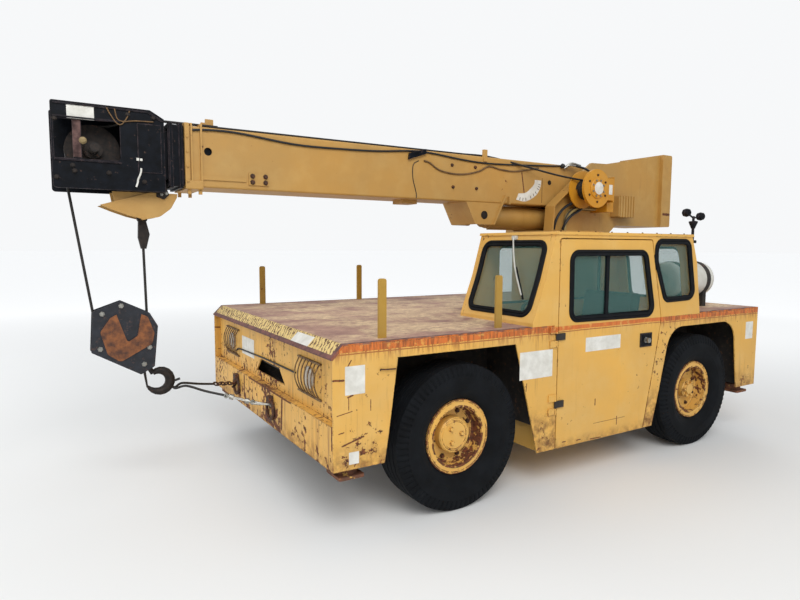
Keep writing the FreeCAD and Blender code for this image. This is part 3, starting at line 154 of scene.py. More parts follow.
def smear(tree, place, mark, front):
    # 1 along a scratch, ragged at its rim: two pairs of station and height, then its width;
    # on the front the stations run across the crane
    flatten = (0, 1, 1) if front else (1, 0, 1)
    first, last = [Vector((0, a, z)) if front else Vector((a + shift, 0, z))
                   for a, z in (mark[0:2], mark[2:4])]
    run, width = last - first, mark[4]
    spot = addNode(tree, "ShaderNodeVectorMath", [place, flatten], operation="MULTIPLY")
    away = addNode(tree, "ShaderNodeVectorMath", [spot, tuple(first)], operation="SUBTRACT")
    share = addNode(tree, "ShaderNodeVectorMath", [away, tuple(run / run.length_squared)],
                    "Value", operation="DOT_PRODUCT")
    share = reckon(tree, "MINIMUM", reckon(tree, "MAXIMUM", share, 0.0), 1.0)
    reach = addNode(tree, "ShaderNodeVectorMath", {0: tuple(run), "Scale": share},
                    operation="SCALE")
    gap = addNode(tree, "ShaderNodeVectorMath", [away, reach], "Value", operation="DISTANCE")
    ragged = reckon(tree, "ADD", gap, grain(tree, place, 90, 3, amount=width))
    return addNode(tree, "ShaderNodeMapRange", [ragged, width * 1.5, width * 1.1])


def axleReach(tree, split):
    # how far a point lies from the nearer axle's middle, seen from the side
    ahead = reckon(tree, "MINIMUM", *[
        reckon(tree, "ABSOLUTE", reckon(tree, "SUBTRACT", split["X"], x), 0.0)
        for x in axleX.values()])
    height = reckon(tree, "SUBTRACT", split["Z"], axleHigh)
    return reckon(tree, "SQRT", reckon(tree, "ADD", reckon(tree, "MULTIPLY", ahead, ahead),
                                       reckon(tree, "MULTIPLY", height, height)), 0.0)


def stripeOver(tree, place, split, base, stripe):
    # a brushed orange stripe with drips in and under it, and a thin line below
    low, high, share = stripe
    height = reckon(tree, "ADD", split["Z"], grain(tree, place, 9, amount=0.005))
    worn = patches(tree, place, 22, 6, 0.6, (0.32, 0.3), (0.44, 1.0))
    drips = patches(tree, place, 70, 6, 0.65, (0.44, 0.0), (0.60, share), (1, 1, 0.12))
    runs = patches(tree, place, 60, 6, 0.65, (0.46, 0.0), (0.62, share), (1, 1, 0.10))
    base = coat(tree, base, coat(tree, enamel["orange"], enamel["drip"], drips),
                between(tree, height, low, high), worn)
    base = coat(tree, base, enamel["drip"],
                addNode(tree, "ShaderNodeMapRange", [height, low - 0.07, low]),
                reckon(tree, "LESS_THAN", height, low), runs)
    return coat(tree, base, enamel["stripeLine"],
                between(tree, height, low - 0.013, low - 0.006), worn)


def wornEnamel(name, rust=0.3, runs=0.3, edge=0.4, low=None, stripe=None, dust=0.3, marks=(),
               front=False, fresh="fresh", chalked="chalked", rings=()):
    material, tree, shader, place = newMaterial(name, 0.5)
    split = addNode(tree, "ShaderNodeSeparateXYZ", [place], None).outputs
    fade = grain(tree, place, 1.7, 5)
    base = addNode(tree, "ShaderNodeValToRGB", [fade],
                   stops=[(0.35, enamel[fresh]), (0.68, enamel[chalked])])
    base = coat(tree, base, enamel["pale"],
                patches(tree, place, 6, 6, 0.6, (0.46, 0.0), (0.72, dust)))
    if stripe:
        base = stripeOver(tree, place, split, base, stripe)
    base = coat(tree, base, enamel["run"], patches(
        tree, place, enamel["streakPerMetre"], 5, 0.6, (0.61 - 0.09 * runs, 0.0),
        (0.84 - 0.09 * runs, 0.8), (1, 1, 0.07)), runs)
    chipsAndRings = [grain(tree, place, enamel["chipPerMetre"], 8, 0.65, amount=0.6),
             grain(tree, place, 3.1, 4, amount=0.4),
             reckon(tree, "MULTIPLY", edgeMask(tree), 0.11 * edge)]
    # rings round the axle's middle where the enamel goes to rust sooner; on the rim the inner ring
    # stands for rust and painted shade in the dish's corner
    for inner, outer, gain in rings:
        ring = between(tree, axleReach(tree, split), inner, outer)
        chipsAndRings.append(reckon(tree, "MULTIPLY", ring, gain))
    limit = 0.66 - 0.12 * rust
    wear = [addNode(tree, "ShaderNodeValToRGB", [reckon(tree, "ADD", *chipsAndRings)],
                    stops=[(limit, 0.0), (limit + 0.02, 1.0)]),
            patches(tree, place, enamel["speckPerMetre"], 5, 0.6, (0.72 - 0.05 * rust, 0.0),
                    (0.75 - 0.05 * rust, 0.9))]
    if low:
        wear.append(reckon(tree, "MULTIPLY",
                           addNode(tree, "ShaderNodeMapRange", [split["Z"], low[1], low[0]]),
                           patches(tree, place, 14, 6, 0.65, (0.38, 0.0), (0.62, 1.0)), 0.85))
    wear += [smear(tree, place, mark, front) for mark in marks]
    wear = reckon(tree, "MAXIMUM", *wear)
    rustTone = patches(tree, place, 60, 5, 0.55, (0.35, enamel["rustDark"]),
                       (0.65, enamel["rust"]))
    tree.links.new(addNode(tree, "ShaderNodeValToRGB", [wear], stops=[(0, 0.5), (1, 0.88)]),
                   shader.inputs["Roughness"])
    surface(tree, shader, coat(tree, base, rustTone, wear), reckon(
        tree, "SUBTRACT", reckon(tree, "MULTIPLY", fade, 0.5), wear), 0.35, 0.0011)
    return material


def plainFinish(name, first, second, rough, metallic=0.0, perMetre=12, deep=0.0, spots=None,
                worn=None, mirror=None):
    # two tones in soft patches, with spots of a third and a fourth along the edges
    material, tree, shader, place = newMaterial(name, rough, metallic)
    colour = patches(tree, place, perMetre, 5, 0.6, (0.35, first), (0.65, second))
    if spots:
        tone, spotsPerMetre, level = spots
        colour = coat(tree, colour, tone, patches(tree, place, spotsPerMetre, 7, 0.65,
                                                  (level, 0.0), (level + 0.05, 1.0)))
    if worn:
        colour = coat(tree, colour, worn, edgeMask(tree),
                      patches(tree, place, 30, 5, 0.55, (0.40, 0.2), (0.60, 0.9)))
    if mirror:
        shader.inputs["Specular IOR Level"].default_value = mirror
    surface(tree, shader, colour, grain(tree, place, 90, 4) if deep else None, 0.4, deep)
    return material


# hot-rolled deck plate: walked bare and pinkish brown, tan where the last paint holds, oil
# lines along it; the sloped strip keeps pale yellow paint with brown slashes

deck = {
    "stripX": 0.813, "lipX": 0.889, "rimY": 1.185, "sideY": 1.2195, "slashPerMetre": 26,
    "bare": "#8f6b62", "bareLight": "#b8937f", "tan": "#e0c69c", "oil": "#5f4a42",
    "drag": "#d9c6a4", "pits": "#5f4038", "strip": "#dcc07e", "slash": "#5b3b2c",
    "lip": "#5a3f3b", "lipLight": "#7b5048",
}


def deckSteel(name):
    material, tree, shader, place = newMaterial(name, 0.8)
    split = addNode(tree, "ShaderNodeSeparateXYZ", [place], None).outputs
    aside = reckon(tree, "ABSOLUTE", split["Y"], 0.0)
    away = reckon(tree, "MULTIPLY", addNode(tree, "ShaderNodeMapRange", [aside, 1.17, 0.80]),
                  addNode(tree, "ShaderNodeMapRange", [
                      split["X"], deck["stripX"] + shift - 0.06, shift + 0.25]))
    base = patches(tree, place, 5, 8, 0.7, (0.36, deck["bare"]), (0.64, deck["bareLight"]))
    tan = addNode(tree, "ShaderNodeValToRGB", [
        reckon(tree, "ADD", grain(tree, place, 2.6, 9, 0.72, (0.8, 1, 1)),
               reckon(tree, "MULTIPLY", away, 0.09))], stops=[(0.48, 0.0), (0.62, 0.95)])
    grit = patches(tree, place, 26, 7, 0.75, (0.38, 0.15), (0.58, 1.0), (0.6, 1, 1))
    base = coat(tree, base, deck["tan"], tan, grit)
    base = coat(tree, base, deck["oil"], patches(tree, place, 7, 5, 0.55, (0.66, 0.0),
                                                 (0.69, 0.8), (0.09, 1, 1)))
    base = coat(tree, base, deck["drag"], patches(tree, place, 60, 4, 0.6, (0.58, 0.0),
                                                  (0.74, 0.5), (0.15, 1, 1)), away)
    pits = patches(tree, place, 44, 8, 0.75, (0.58, 0.0), (0.66, 0.75))
    base = coat(tree, base, deck["pits"], pits)
    inner = between(tree, split["Y"], -deck["rimY"], deck["rimY"])
    base = coat(tree, base, deck["lip"], reckon(tree, "SUBTRACT", 1.0, inner),
                patches(tree, place, 30, 6, 0.6, (0.35, 0.4), (0.55, 1.0)))
    # sloped strip
    slant = reckon(tree, "ADD", reckon(tree, "MULTIPLY", split["Y"], deck["slashPerMetre"]),
                   reckon(tree, "MULTIPLY", split["Z"], deck["slashPerMetre"] * 0.9),
                   grain(tree, place, 18, 5, 0.65, amount=3.0))
    strip = coat(tree, deck["strip"], deck["slash"],
                 reckon(tree, "GREATER_THAN", reckon(tree, "FRACT", slant, 0.0), 0.52),
                 patches(tree, place, 34, 5, 0.6, (0.40, 0.1), (0.52, 1.0)))
    onStrip = reckon(tree, "GREATER_THAN", split["X"], deck["stripX"] + shift)
    base = coat(tree, base, strip, onStrip)
    onLip = reckon(tree, "MAXIMUM",
                   reckon(tree, "GREATER_THAN", split["X"], deck["lipX"] - 0.012 + shift),
                   reckon(tree, "MULTIPLY", onStrip,
                          reckon(tree, "GREATER_THAN", aside, deck["rimY"])))
    base = coat(tree, base, patches(tree, place, 25, 5, 0.55, (0.4, deck["lip"]),
                                    (0.65, deck["lipLight"])), onLip)
    # painted edge of the plate on both sides
    runs = patches(tree, place, 70, 6, 0.65, (0.44, 0.0), (0.60, 0.9), (1, 1, 0.12))
    base = coat(tree, base, coat(tree, enamel["orange"], enamel["drip"], runs),
                reckon(tree, "GREATER_THAN", aside, deck["sideY"]),
                patches(tree, place, 20, 5, 0.55, (0.40, 0.2), (0.55, 1.0)))
    surface(tree, shader, base, reckon(tree, "ADD", grit, reckon(tree, "MULTIPLY", pits, -0.6)),
            0.35, 0.0012)
    return material


def blockPaint(name):
    # black gloss on the hook block's cheeks, flaked here and there, with a bare rusty cover
    material, tree, shader, place = newMaterial(name, 0.55)
    split = addNode(tree, "ShaderNodeSeparateXYZ", [place], None).outputs
    plate = patches(tree, place, 20, 5, 0.55, (0.4, "#12151d"), (0.65, "#1e222b"))
    plate = coat(tree, plate, "#4f3a34",
                 patches(tree, place, 38, 7, 0.65, (0.57, 0.0), (0.66, 0.8)))
    rust = patches(tree, place, 20, 7, 0.65, (0.36, "#46281b"), (0.62, "#8a5228"))
    onCover = reckon(tree, "GREATER_THAN", reckon(tree, "ABSOLUTE", split["Y"], 0.0), 0.0468)
    surface(tree, shader, coat(tree, plate, rust, onCover), grain(tree, place, 70, 4), 0.3,
            0.0005)
    return material


def clearGlass(name, tint, rough, solid):
    # light passes straight through what isn't solid
    material, _, shader, _ = newMaterial(name, rough)
    for key, value in (("Base Color", linear(tint)), ("Alpha", solid), ("IOR", 1.52)):
        shader.inputs[key].default_value = value
    return material


def overPart(material, first, second, **spans):
    # one part of a piece in tones of its own, where it lies within the spans of the axes
    tree = material.node_tree
    shader = tree.nodes["Principled BSDF"]
    place = addNode(tree, "ShaderNodeTexCoord", out="Object")
    split = addNode(tree, "ShaderNodeSeparateXYZ", [place], None).outputs
    inside = [between(tree, split[axis], *span) for axis, span in spans.items()]
    paint = shader.inputs["Base Color"].links[0].from_socket
    tone = patches(tree, place, 30, 5, 0.55, (0.35, first), (0.65, second))
    surface(tree, shader, coat(tree, paint, tone, *inside))


# scratches and scars that the photo shows: two pairs of station and height, then the width
scars = {
    "side": [(0.80, 0.99, 0.775, 1.03, 0.004), (0.88, 0.93, 0.82, 0.925, 0.007),
             (0.795, 0.83, 0.765, 0.838, 0.006), (0.86, 0.735, 0.77, 0.75, 0.003),
             (0.85, 0.635, 0.82, 0.64, 0.004), (0.83, 0.565, 0.70, 0.60, 0.006),
             (0.79, 0.83, 0.79, 0.76, 0.003), (0.655, 0.80, 0.655, 0.74, 0.003),
             (-0.505, 0.75, -0.50, 0.70, 0.004)],
    "door": [(-1.17, 0.56, -1.17, 0.52, 0.006), (-1.16, 0.385, -1.50, 0.385, 0.002),
             (-1.41, 0.40, -1.41, 0.34, 0.005), (-0.85, 0.30, -0.88, 0.30, 0.005),
             (-0.99, 0.29, -1.03, 0.29, 0.005), (-1.13, 0.275, -1.24, 0.272, 0.005)],
    "panel": [(-0.36, 0.66, -0.37, 0.50, 0.016), (0.30, 0.47, 0.40, 0.43, 0.030),
              (0.45, 0.66, 0.43, 0.46, 0.018), (0.12, 0.46, 0.28, 0.44, 0.020),
              (1.205, 0.95, 1.205, 0.55, 0.010), (-0.25, 0.668, 0.60, 0.668, 0.008)],
    "boom": [(-1.400, 2.278, -1.431, 2.110, 0.007)],
    "weight": [(-3.330, 1.975, -3.235, 1.978, 0.016)],
}
sideEnamel = wornEnamel("sideEnamel", 0.5, 0.6, 1.0, (0.40, 0.60), (1.076, 1.112, 0.9),
                        marks=scars["side"])
doorEnamel = wornEnamel("doorEnamel", 0.22, 0.2, 0.7, (0.24, 0.34), (1.083, 1.112, 0.3),
                        marks=scars["door"])
bodyEnamel = wornEnamel("bodyEnamel", 0.25, 0.2, 0.7)
# the turret in the boom's darkened tones: painted shade over its yellow enamel
turretEnamel = wornEnamel("turretEnamel", 0.12, 0.35, 0.5, dust=0.22, marks=scars["weight"],
                          fresh="boom", chalked="boomShadedChalked")
panelEnamel = wornEnamel("panelEnamel", 0.95, 1.0, 1.0, (0.40, 0.55), marks=scars["panel"],
                         front=True)
# the boom in its darkened tones: painted shade on its yellow enamel
boomEnamel = wornEnamel("boomEnamel", 0.08, 0.12, 0.35, dust=0.15, marks=scars["boom"],
                        fresh="boom", chalked="boomShadedChalked")
# rust rings on the rim: the inner one, in the dish's corner, is rust and painted shade; the outer
# one is rust chips along the lip
rimEnamel = wornEnamel("rimEnamel", 0.6, 0.1, 1.0, rings=[(0.168, 0.199, 0.11),
                                                          (0.229, 0.245, 0.10)])
postEnamel = wornEnamel("postEnamel", 0.3, 0.2, 0.4, dust=0.1, fresh="post",
                        chalked="postDark")
winchEnamel = wornEnamel("winchEnamel", 0.25, 0.1, 0.6, dust=0.1, fresh="disc",
                         chalked="discDark")
# the hoses of the winch frame: one jacket weathered yellow, one still dark
for jacket, span in (("#96804c", (0.2255, 0.309)), ("#3f3a30", (0.256, 0.282))):
    overPart(winchEnamel, jacket, jacket, Y=span, Z=(-9, 2.005), X=(-2.19 + shift, 9))
deckPlate = deckSteel("deckPlate")
# black chassis enamel under road dirt: dark and dull, brown where it has gone
chassisPaint = plainFinish("chassisPaint", "#1d1b1a", "#332d27", 0.75, 0.0, 15, 0.0004,
                           ("#5b3c28", 30, 0.60))
# rusted plate with the last flakes of yellow enamel: matt and rough
jackPaint = plainFinish("jackPaint", "#5c3c2c", "#7a4a30", 0.82, 0.0, 22, 0.0006,
                        ("#c9a04e", 26, 0.60))
# thick black enamel, cold and deep, bare and brownish along its edges
boomBlack = plainFinish("boomBlack", "#06080c", "#0f131a", 0.45, 0.0, 20, 0.0,
                        ("#4a3a34", 34, 0.64), "#55484a", 0.12)
# the guard bars in the boom's head are bare
overPart(boomBlack, "#3c2c2a", "#6a514c", X=(1.948 + shift, 2.004 + shift), Z=(2.140, 2.356),
         Y=(0.110, 0.1535))
# sand-cast steel, oiled and rusty: warm dark brown with a rough skin
castSteel = plainFinish("castSteel", "#33261f", "#54392b", 0.72, 0.3, 35, 0.0005,
                        ("#7a4628", 60, 0.55))
# forged iron under old black paint: near black with rust in its pits
blackIron = plainFinish("blackIron", "#1a1614", "#30261f", 0.6, 0.4, 40, 0.0004,
                        ("#5a3a28", 45, 0.62))
# round bar with most of its yellow worn off: ochre and rust by turns
guardSteel = plainFinish("guardSteel", "#8a7048", "#5f4630", 0.7, 0.1, 30, 0.0004,
                         ("#4a2e20", 50, 0.52))
# carbon-black natural rubber, moulded and scrubbed: deep black that hardly shines
tyreRubber = plainFinish("tyreRubber", "#07090c", "#101317", 0.85, 0.0, 9, 0.0003,
                         mirror=0.2)
# extruded glazing rubber: flat black with a faint sheen on its lips
sealRubber = plainFinish("sealRubber", "#090b0e", "#121418", 0.6, 0.0, 20, mirror=0.15)
# neoprene hose, wiped by hand: black with a soft shine
hoseRubber = plainFinish("hoseRubber", "#101113", "#1c1d1f", 0.5, 0.0, 30)
# the same hose oversprayed with the boom's yellow: drab tan
oldHose = plainFinish("oldHose", "#5b442a", "#7a5c38", 0.7, 0.0, 30)
# greased wire rope: dark grey with a fine uneven glint; its lay is too fine to show
wireRope = plainFinish("wireRope", "#1d1c1b", "#34302c", 0.55, 0.4, 120, 0.0006)
# hard chrome, ground and polished: bright and mirror-like
chromeRod = plainFinish("chromeRod", "#c9cbcc", "#d8d9da", 0.14, 1.0, 5)
# black seat vinyl: an even soft sheen
vinyl = plainFinish("vinyl", "#15161a", "#1e1f23", 0.6, 0.0, 25)
# white tank enamel: smooth, dusty, yellowed in spots
whiteEnamel = plainFinish("whiteEnamel", "#dcdad2", "#c6c3b6", 0.42, 0.0, 6, 0.0,
                          ("#8b7a62", 22, 0.66))
# printed vinyl film left blank: flat off-white
blankLabel = plainFinish("blankLabel", "#e4e2da", "#cfccc2", 0.5, 0.0, 15)
# zinc-plated steel, dulled outdoors: pale grey metal
zincSteel = plainFinish("zincSteel", "#8d8c86", "#a8a69e", 0.42, 0.9, 40)
# brass gone dull: greenish tan with little gloss
brass = plainFinish("brass", "#7d6c48", "#97825a", 0.55, 0.3, 40)
# anodised aluminium after years outside: chalky light grey
agedAluminium = plainFinish("agedAluminium", "#b5b3aa", "#cfcdc4", 0.5, 0.2, 30)
# dusty enamel of the controls: brown in the cab's shade
cabInside = plainFinish("cabInside", "#3a342a", "#5c4c34", 0.7, 0.0, 9)
hookPaint = blockPaint("hookPaint")
# tinted safety glass under a film of dust: clear blue-green with sharp reflections
windowGlass = clearGlass("windowGlass", "#5f8d86", 0.03, 0.24)
# pressed lamp glass: milky, as its moulded ribs are too fine to show
lampGlass = clearGlass("lampGlass", "#d8d8d0", 0.08, 0.55)

finishes = {
    sideEnamel: ["skin_left", "skin_right"],
    doorEnamel: ["door_panel"],
    bodyEnamel: ["cab_side", "cab_end_walls", "cab_right", "cab_roof", "cab_tub"],
    turretEnamel: ["turret_frame", "counterweight", "pedestal", "lift_barrel"],
    panelEnamel: ["end_panels"],
    boomEnamel: ["boom_base", "anchor_pod"],
    postEnamel: ["stake_posts"],
    winchEnamel: ["winch_frame", "winch_drum"],
    deckPlate: ["deck_front", "deck_rear"],
    chassisPaint: ["frame_rails", "frame_crossmembers", "axles", "tank_bracket",
                   "arch_liners", "door_hardware"],
    jackPaint: ["jack_barrels"],
    boomBlack: ["boom_mid", "boom_fly"],
    hookPaint: ["hook_block"],
    blackIron: ["hook", "rope_socket", "head_sheave"],
    castSteel: ["engine_block", "tie_rings"],
    guardSteel: ["lamp_guards"],
    wireRope: ["hoist_falls"],
    chromeRod: ["lift_rod"],
    windowGlass: ["cab_glass", "door_glass"],
    lampGlass: ["lamps"],
    vinyl: ["seat"],
    cabInside: ["cab_controls"],
    whiteEnamel: ["gas_tank"],
    rimEnamel: [],
    tyreRubber: [],
}
cornerFinishes = {rimEnamel: "rim", tyreRubber: "tyre", castSteel: "knuckle",
                  jackPaint: "jack_leg"}
for material, start in cornerFinishes.items():
    finishes[material] += ["%s_%s_%s" % (start, end, hand) for end in axleX
                           for hand in handSide]
for material, names in finishes.items():
    for name in names:
        nodes[name].data.materials.clear()
        nodes[name].data.materials.append(material)
print("finishes on", sum(len(names) for names in finishes.values()), "nodes")


# mesh builders

def finishMesh(name, bm, material, body, smooth=35):
    bmesh.ops.remove_doubles(bm, verts=bm.verts, dist=1e-6)
    bmesh.ops.recalc_face_normals(bm, faces=bm.faces)
    mesh = bpy.data.meshes.new(name)
    bm.to_mesh(mesh)
    bm.free()
    mesh.materials.append(material)
    piece = bpy.data.objects.new(name, mesh)
    bpy.context.collection.objects.link(piece)
    if smooth:
        mesh.polygons.foreach_set("use_smooth", [True] * len(mesh.polygons))
        mesh.set_sharp_from_angle(angle=math.radians(smooth))
    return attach(piece, body) if body else piece


def addBlock(bm, low, high, bevel=0.0):
    made = bmesh.ops.create_cube(bm, size=1.0)["verts"]
    size = [b - a for a, b in zip(low, high)]
    middle = Vector([(a + b) / 2 for a, b in zip(low, high)])
    bmesh.ops.transform(bm, verts=made,
                        matrix=Matrix.Translation(middle) @ Matrix.Diagonal((*size, 1)))
    if bevel:
        edges = list({edge for vert in made for edge in vert.link_edges})
        bmesh.ops.bevel(bm, geom=edges, offset=bevel, segments=2, affect="EDGES")


def addTube(bm, points, radius, sides=12, closed=False):
    points = [Vector(point) for point in points]
    count = len(points)
    rings, normal = [], None
    turns = [2 * math.pi * step / sides for step in range(sides)]
    for index, point in enumerate(points):
        before = points[index - 1] if index or closed else point
        after = points[(index + 1) % count] if index < count - 1 or closed else point
        along = (after - before).normalized()
        normal = along.orthogonal() if normal is None else normal - along * normal.dot(along)
        normal.normalize()
        side = along.cross(normal)
        rings.append([bm.verts.new(point + (normal * math.cos(t) + side * math.sin(t)) * radius)
                      for t in turns])
    pairs = [(first, second, 0) for first, second in zip(rings, rings[1:])]
    if closed:
        last, first = rings[-1], rings[0]
        offset = min(range(sides), key=lambda step: (first[step].co - last[0].co).length)
        pairs.append((last, first, offset))
    for first, second, offset in pairs:
        for step in range(sides):
            after = (step + 1) % sides
            bm.faces.new((first[step], first[after], second[(after + offset) % sides],
                          second[(step + offset) % sides]))
    if not closed:
        bm.faces.new(rings[0][::-1])
        bm.faces.new(rings[-1])


def addLathe(bm, profile, centre, axis, segments=64):
    # profile: (along, radius) pairs; a radius of 0 closes that end
    along = Vector(axis).normalized()
    first = along.orthogonal().normalized()
    second = along.cross(first)
    turns = [2 * math.pi * step / segments for step in range(segments)]
    rings = []
    for reach, radius in profile:
        base = Vector(centre) + along * reach
        rings.append([bm.verts.new(base + (first * math.cos(t) + second * math.sin(t)) * radius)
                      for t in (turns if radius else [0])])
    loop = list(zip(rings, rings[1:]))
    if profile[0][1] and profile[-1][1]:
        loop.append((rings[-1], rings[0]))
    for one, two in loop:
        for step in range(segments):
            after = (step + 1) % segments
            corners = [one[step % len(one)], one[after % len(one)],
                       two[after % len(two)], two[step % len(two)]]
            corners = list(dict.fromkeys(corners))
            if len(corners) > 2:
                bm.faces.new(corners)


def rounded(corners, radius, steps=8):
    # rounds every corner of a closed outline of pairs
    result = []
    for index, corner in enumerate(corners):
        here = Vector(corner)
        back = (Vector(corners[index - 1]) - here).normalized()
        ahead = (Vector(corners[(index + 1) % len(corners)]) - here).normalized()
        half = back.angle(ahead) / 2
        reach = radius / math.tan(half)
        middle = here + (back + ahead).normalized() * (radius / math.sin(half))
        start, end = here + back * reach - middle, here + ahead * reach - middle
        sweep = start.angle_signed(end)
        for step in range(steps + 1):
            turn = -sweep * step / steps
            cosine, sine = math.cos(turn), math.sin(turn)
            result.append((middle.x + start.x * cosine - start.y * sine,
                           middle.y + start.x * sine + start.y * cosine))
    return result


def grown(corners, amount):
    # every side of a convex outline moved outwards
    middle = sum((Vector(corner) for corner in corners), Vector((0, 0))) / len(corners)
    result = []
    for index, corner in enumerate(corners):
        here = Vector(corner)
        back = (Vector(corners[index - 1]) - here).normalized()
        ahead = (Vector(corners[(index + 1) % len(corners)]) - here).normalized()
        outward = -(back + ahead).normalized()
        if outward.dot(here - middle) < 0:
            outward.negate()
        result.append(here + outward * amount / math.sin(back.angle(ahead) / 2))
    return result


def curvePoints(points, steps=10):
    # a smooth run through the points
    points = [Vector(point) for point in points]
    ends = [points[0] * 2 - points[1]] + points + [points[-1] * 2 - points[-2]]
    result = []
    for a, b, c, d in zip(ends, ends[1:], ends[2:], ends[3:]):
        for step in range(steps):
            t = step / steps
            result.append(0.5 * (2 * b + (c - a) * t + (2 * a - 5 * b + 4 * c - d) * t * t
                                 + (3 * b - a - 3 * c + d) * t * t * t))
    return result + [points[-1]]


def at(x, y, z):
    # a point from its station ahead of the front axle
    return (x + shift, y, z)


def tubes(name, runs, radius, material, body, sides=10):
    bm = bmesh.new()
    for run in runs:
        addTube(bm, run, radius, sides)
    return finishMesh(name, bm, material, body)


def wallHoses(name, runs, wall, radius, material, body, sides=10):
    # each run is pairs of station and height along a wall
    tubes(name, [curvePoints([at(x, wall, z) for x, z in run]) for run in runs], radius,
          material, body, sides)


def plates(name, outlines, low, high, material, body):
    # outlines of station and height, padded from low to high across the crane
    bm = bmesh.new()
    for outline in outlines:
        bottom, top = [[bm.verts.new(at(x, y, z)) for x, z in outline] for y in (low, high)]
        bm.faces.new(bottom)
        bm.faces.new(top[::-1])
        for step in range(len(outline)):
            after = (step + 1) % len(outline)
            bm.faces.new((bottom[step], top[step], top[after], bottom[after]))
    finishMesh(name, bm, material, body, 20)


def block(name, low, high, bevel, material, body, smooth=35):
    bm = bmesh.new()
    addBlock(bm, at(*low), at(*high), bevel)
    finishMesh(name, bm, material, body, smooth)


def turned(name, profile, centre, axis, segments, material, body):
    bm = bmesh.new()
    addLathe(bm, profile, centre, axis, segments)
    finishMesh(name, bm, material, body)


# repeated pieces: one tree sets copies of a small mesh on given places

def scatterTree(name, material):
    tree = bpy.data.node_groups.new(name, "GeometryNodeTree")
    for socket, way, kind in (("Places", "INPUT", "Geometry"), ("Model", "INPUT", "Object"),
                              ("Size", "INPUT", "Float"), ("Result", "OUTPUT", "Geometry")):
        tree.interface.new_socket(socket, in_out=way, socket_type="NodeSocket" + kind)
    given = addNode(tree, "NodeGroupInput", out=None).outputs
    aim = addNode(tree, "GeometryNodeInputNamedAttribute", {"Name": "aim"},
                  data_type="FLOAT_VECTOR")
    turn = addNode(tree, "FunctionNodeAlignRotationToVector", {"Vector": aim}, axis="Z")
    model = addNode(tree, "GeometryNodeObjectInfo", {"Object": given["Model"]}, "Geometry")
    copies = addNode(tree, "GeometryNodeInstanceOnPoints", {
        "Points": given["Places"], "Instance": model, "Rotation": turn,
        "Scale": given["Size"]})
    real = addNode(tree, "GeometryNodeRealizeInstances", [copies])
    painted = addNode(tree, "GeometryNodeSetMaterial", {"Geometry": real, "Material": material})
    addNode(tree, "NodeGroupOutput", [painted], None)
    return tree


def scatter(name, places, model, size, material, body):
    # places: (point, direction) pairs
    mesh = bpy.data.meshes.new(name + "Places")
    mesh.from_pydata([place for place, aim in places], [], [])
    attribute = mesh.attributes.new("aim", "FLOAT_VECTOR", "POINT")
    attribute.data.foreach_set("vector", [value for place, aim in places for value in aim])
    holder = bpy.data.objects.new(name, mesh)
    bpy.context.collection.objects.link(holder)
    modifier = holder.modifiers.new("copies", "NODES")
    tree = scatterTree(name + "Tree", material)
    modifier.node_group = tree
    sockets = {item.name: item.identifier for item in tree.interface.items_tree
               if item.in_out == "INPUT"}
    modifier[sockets["Model"]] = model
    modifier[sockets["Size"]] = size
    bpy.context.view_layer.update()
    graph = bpy.context.evaluated_depsgraph_get()
    result = bpy.data.meshes.new_from_object(holder.evaluated_get(graph))
    holder.modifiers.clear()
    holder.data = result
    result.name = name
    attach(holder, body)


def wallBolts(name, spots, wall, size, material, body, way=1):
    # bolts in pairs of station and height on a wall, which faces left where way is 1
    scatter(name, [(at(x, way * wall, z), (0, way, 0)) for x, z in spots], hexBolt, size,
            material, body)


def boltCircle(centre, way, circle, count, first, proud=0.0):
    # places round an axle, facing outwards; first is the angle of the first in degrees
    turns = [math.radians(first + 360 * step / count) for step in range(count)]
    return [(Vector(centre) + Vector((circle * math.cos(t), way * proud, circle * math.sin(t))),
             (0, way, 0)) for t in turns]


# bolt head with its washer: unit size over the flats' radius, scaled by the tree
bm = bmesh.new()
addLathe(bm, [(0, 0), (0, 1.35), (0.22, 1.35), (0.22, 1.0), (1.1, 1.0), (1.22, 0.8), (1.22, 0)],
         (0, 0, 0), (0, 0, 1), 6)
hexBolt = finishMesh("hexBolt", bm, zincSteel, None, 0)


# tyres: bias-ply industrial, zigzag ribs on the tread and short flutes round the shoulder

tyre = {"segments": 216, "zigzag": 0.0035, "fluteDepth": 0.007, "grooves": 4, "ribsWide": 0.188,
        "grooveWide": 0.009, "grooveDeep": 0.011, "tread": 0.4622, "middle": 1.06}


def tyreProfile():
    half = [(0.082, 0.1955, ""), (0.082, 0.2385, ""), (0.098, 0.251, ""), (0.119, 0.274, ""),
            (0.132, 0.303, ""), (0.1345, 0.318, ""), (0.1365, 0.321, ""), (0.1383, 0.345, ""),
            (0.1372, 0.372, ""), (0.1345, 0.392, ""), (0.1352, 0.397, "flute"),
            (0.1315, 0.418, "flute"), (0.1255, 0.439, "flute"), (0.1175, 0.4525, "flute"),
            (0.1100, 0.4600, "")]
    left = [(-along, radius, kind) for along, radius, kind in half]
    middle = []
    wide, high = tyre["grooveWide"] / 2, tyre["tread"]
    low = high - tyre["grooveDeep"]
    for index in range(tyre["grooves"]):
        groove = (index + 0.5 - tyre["grooves"] / 2) * tyre["ribsWide"] / tyre["grooves"]
        middle += [(groove - wide, high, "rib"), (groove - wide * 0.6, low, "rib"),
                   (groove + wide * 0.6, low, "rib"), (groove + wide, high, "rib")]
    return left + middle + half[::-1]


